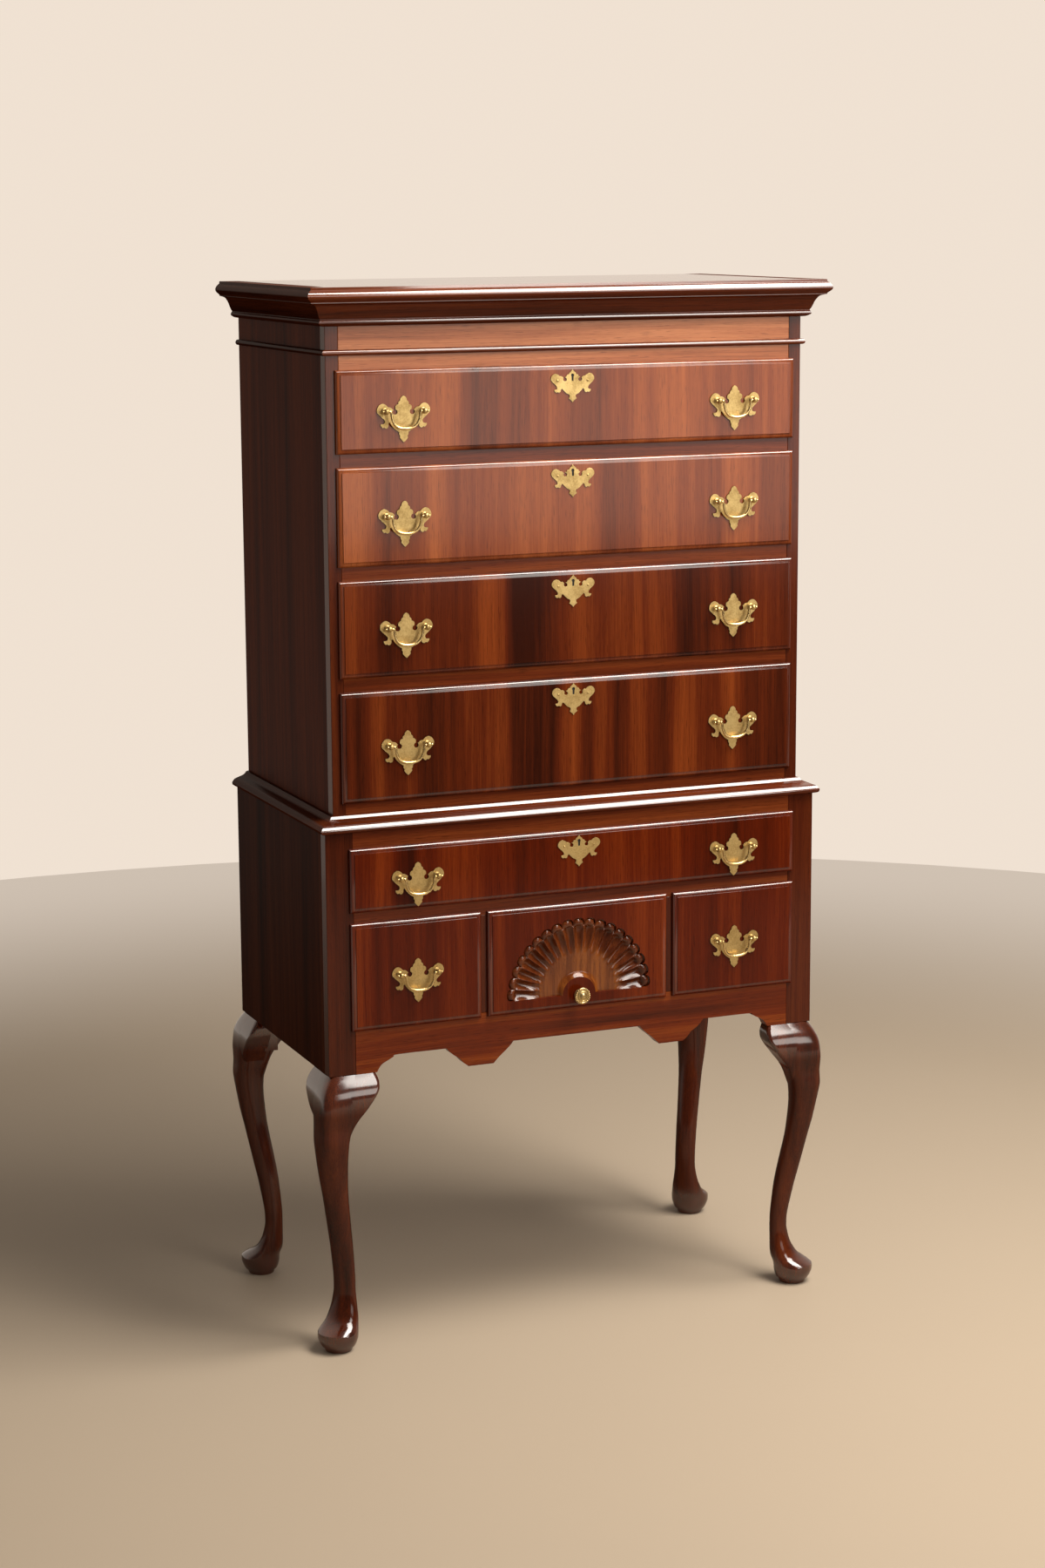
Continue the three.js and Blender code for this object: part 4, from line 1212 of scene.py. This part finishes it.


# The face of a plate in brass, its side walls in the dark brass of painted edge shade
filed = [plate_brass, edge_brass]
plate_outline = both_sides(plate_right)
sheet = sawn_board("plate_sheet", plate_outline, [], 0.0, -plate_thickness, filed, plate_ease, 40)
posts = turned("pull_posts", post_profile, sides=20, material=plate_brass)
pull_plate = made_one("pull_plate", sheet, pair_of(posts, post_spacing / 2))

# The bail's centre line, right half, and its thickness in millimetres from the pin line
bail_line = [
    (37.5, 0.0, 1.6), (36.2, 0.0, 1.9), (35.6, 0.0, 1.6), (26.9, 0.0, 1.6), (26.6, 0.0, 2.1),
    (25.6, -0.3, 2.2), (24.3, -1.4, 2.1), (23.5, -3.4, 2.0), (23.2, -8.0, 2.0),
    (21.9, -13.3, 2.05), (19.1, -19.1, 2.15), (14.6, -23.3, 2.3), (8.0, -25.9, 2.4),
    (0.0, -26.7, 2.45),
]
pin_radius = 0.0016


def bar_rings(line, sides, standoff):
    """Rings of a round bar along a line of (x, z, radius), standing off the face."""
    rings = []
    for i, (x, z, radius) in enumerate(line):
        xa, za, _ = line[max(i - 1, 0)]
        xb, zb, _ = line[min(i + 1, len(line) - 1)]
        length = math.hypot(xb - xa, zb - za)
        lean_x, lean_z = (zb - za) / length, -(xb - xa) / length
        ring = []
        for k in range(sides):
            angle = math.tau * k / sides
            side = radius * math.cos(angle)
            y = -standoff + radius * mm * math.sin(angle)
            ring.append(((x + lean_x * side) * mm, y, (z + lean_z * side) * mm))
        rings.append(ring)
    return rings


bail_right = bail_line[:4] + smoothed(bail_line[4:], steps=4, turn=60)
bail_whole = bail_right + [(-x, z, r) for x, z, r in reversed(bail_right[:-1])]
bail_rings = bar_rings(bail_whole, sides=14, standoff=pin_standoff)
pull_bail = made_one("pull_bail", lofted("bail_bar", [bail_rings], [bail_brass], crease=40))

for node in [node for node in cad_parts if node.endswith("_plate")]:
    n = int(node.split("_")[1])
    bail_node = node.replace("_plate", "_bail")
    plate_low, plate_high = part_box(node)
    pin_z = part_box(bail_node)[1][2] - pin_radius
    place = Vector(((plate_low[0] + plate_high[0]) / 2, lips[n][0][1], pin_z))
    settle(placed_copy(pull_plate, node + "_filed", place), f"drawer_{n}", "brass", node)
    settle(placed_copy(pull_bail, bail_node + "_cast", place), bail_node, "brass", bail_node)


# The escutcheons: smaller cut plates of the same brass over the keyholes of the five long drawers,
# each held by two round-headed pins.
escutcheon_upper = [
    (0, 26.1), (2.6, 22.6), (5.4, 20.6), (6.2, 18.2), (9.6, 17.2), (10.8, 14.6), (13.2, 13.9),
]
escutcheon_notch = (13.0, 10.2, 3.0)
escutcheon_lower = [
    (16.2, 13.6), (18.6, 15.4), (21.4, 15.0), (24.2, 17.6), (28.6, 19.4), (33.2, 18.2),
    (36.6, 14.4), (37.2, 10.2), (35.0, 6.6), (31.6, 3.6), (28.2, 0.4), (26.4, -3.0),
    (27.6, -5.4), (31.6, -6.0), (30.8, -8.6), (28.0, -10.6), (25.6, -9.6), (23.2, -10.8),
    (20.8, -9.4), (20.0, -6.2), (18.2, -4.2), (14.2, -8.2), (10.4, -11.6), (6.4, -13.6),
    (5.0, -15.4), (5.4, -17.6), (7.0, -19.6), (4.6, -21.4), (2.6, -22.8), (0, -26.2),
]
escutcheon_right = (
    smoothed(escutcheon_upper, steps=3, turn=30)
    + arc_points(*escutcheon_notch, first=95, last=400, count=12)
    + smoothed(escutcheon_lower, steps=3, turn=36)
)
keyhole_round = (0, 16.4, 2.5)
keyhole_foot = [(-1.5, 7.6), (1.5, 7.6)]
keyhole = arc_points(*keyhole_round, first=-50, last=230, count=14) + keyhole_foot
keyhole_loop = [(x * mm, z * mm) for x, z in keyhole]
# Size of the thin dark sheet behind each keyhole, which is painted shade for the hollow of the hole
shade_wider, shade_taller, shade_depth = 1.25, 1.02, 0.0003
keyhole_shade_loop = [(x * shade_wider, z * shade_taller) for x, z in keyhole_loop]
escutcheon_outline = both_sides(escutcheon_right)
escutcheon_thickness = 0.0014
escutcheon_ease = 0.0003
escutcheon_below_lip = 0.0336
pin_head_place = (0.0258, 0.0082)
pin_head_profile = [(1.9, 1.3), (1.8, 1.8), (1.3, 2.2), (0.6, 2.4)]

cut = (escutcheon_outline, [keyhole_loop], 0.0, -escutcheon_thickness)
sheet = sawn_board("escutcheon_sheet", *cut, filed, escutcheon_ease, 40)
heads = turned("escutcheon_pins", pin_head_profile, sides=12, material=plate_brass)
escutcheon = made_one("escutcheon", sheet, pair_of(heads, *pin_head_place))
# Behind each keyhole a thin near-black sheet: painted shade for the dark hollow seen through the
# hole.
lock_dark, keyhole_shade_shader, pen = new_material("lock_dark", {"Roughness": 0.7})
keyhole_shade_cloud = pen.noise(pen.make("ShaderNodeTexCoord", None, None, 3), 300, 2)
keyhole_shade_colour = pen.between((0.006, 0.005, 0.004, 1), (0.02, 0.016, 0.012, 1), keyhole_shade_cloud)
keyhole_shade_colour.feed(keyhole_shade_shader, "Base Color")
lock = made_one("lock", sawn_board("lock_face", keyhole_shade_loop, [], 0.0, -shade_depth, [lock_dark]))
for n in range(1, 6):
    place = Vector((0, lips[n][0][1], lips[n][1][2] - escutcheon_below_lip))
    settle(placed_copy(escutcheon, f"drawer_{n}_escutcheon", place), f"drawer_{n}", "brass")
    settle(placed_copy(lock, f"drawer_{n}_keyhole", place), f"drawer_{n}", "brass")


# The knob of the fan drawer: cast and turned brass on a short neck, with a beaded rim and a small
# raised button in the middle of its face.
knob_beads = 22
# Radius and distance from the face, in millimetres
knob_profile = [
    (8.6, 0.3), (8.7, 1.6), (6.2, 2.6), (4.6, 4.2), (4.2, 7.6), (5.0, 9.4), (8.8, 10.6),
    (12.4, 11.8), (13.6, 13.0), (13.7, 14.4), (12.9, 15.4), (10.4, 15.7), (9.8, 15.2),
    (9.0, 15.4), (8.2, 16.4), (7.2, 16.6), (6.4, 15.9), (5.4, 16.2), (4.6, 17.6), (3.4, 18.6),
    (1.6, 19.0),
]
knob_bead_ring = 11.8
knob_bead_out = 15.3
knob_bead_size = 1.55
knob_bead_rings = 6
knob_bead_pole = 0.35
knob_bead_profile = []
for r in range(knob_bead_rings):
    share = (r + knob_bead_pole) / (knob_bead_rings - 1 + 2 * knob_bead_pole)
    tilt = math.pi * share - math.pi / 2
    radius = knob_bead_size * math.cos(tilt)
    knob_bead_profile.append((radius, knob_bead_out - knob_bead_size * math.sin(tilt)))
knob_brass = brass("knob_brass", (0.66, 0.5, 0.24), (0.26, 0.17, 0.06), 0.24)
knob = turned("knob_body", knob_profile, sides=40, material=knob_brass, crease=32)
round_bead = {"sides": 8, "material": knob_brass, "crease": 60, "shift": knob_bead_ring}
beads = turned("knob_beads", knob_bead_profile, **round_bead)
set_out(beads, knob_beads, turn_step=math.tau / knob_beads)
knob_place = Vector((0, fan_face, fan_base))
piece = placed_copy(made_one("knob", knob, beads), "drawer_7_knob_beaded", knob_place)
settle(piece, "drawer_7", "brass", "drawer_7_knob")

for mesh in [mesh for mesh in bpy.data.meshes if mesh.users == 0]:
    bpy.data.meshes.remove(mesh)
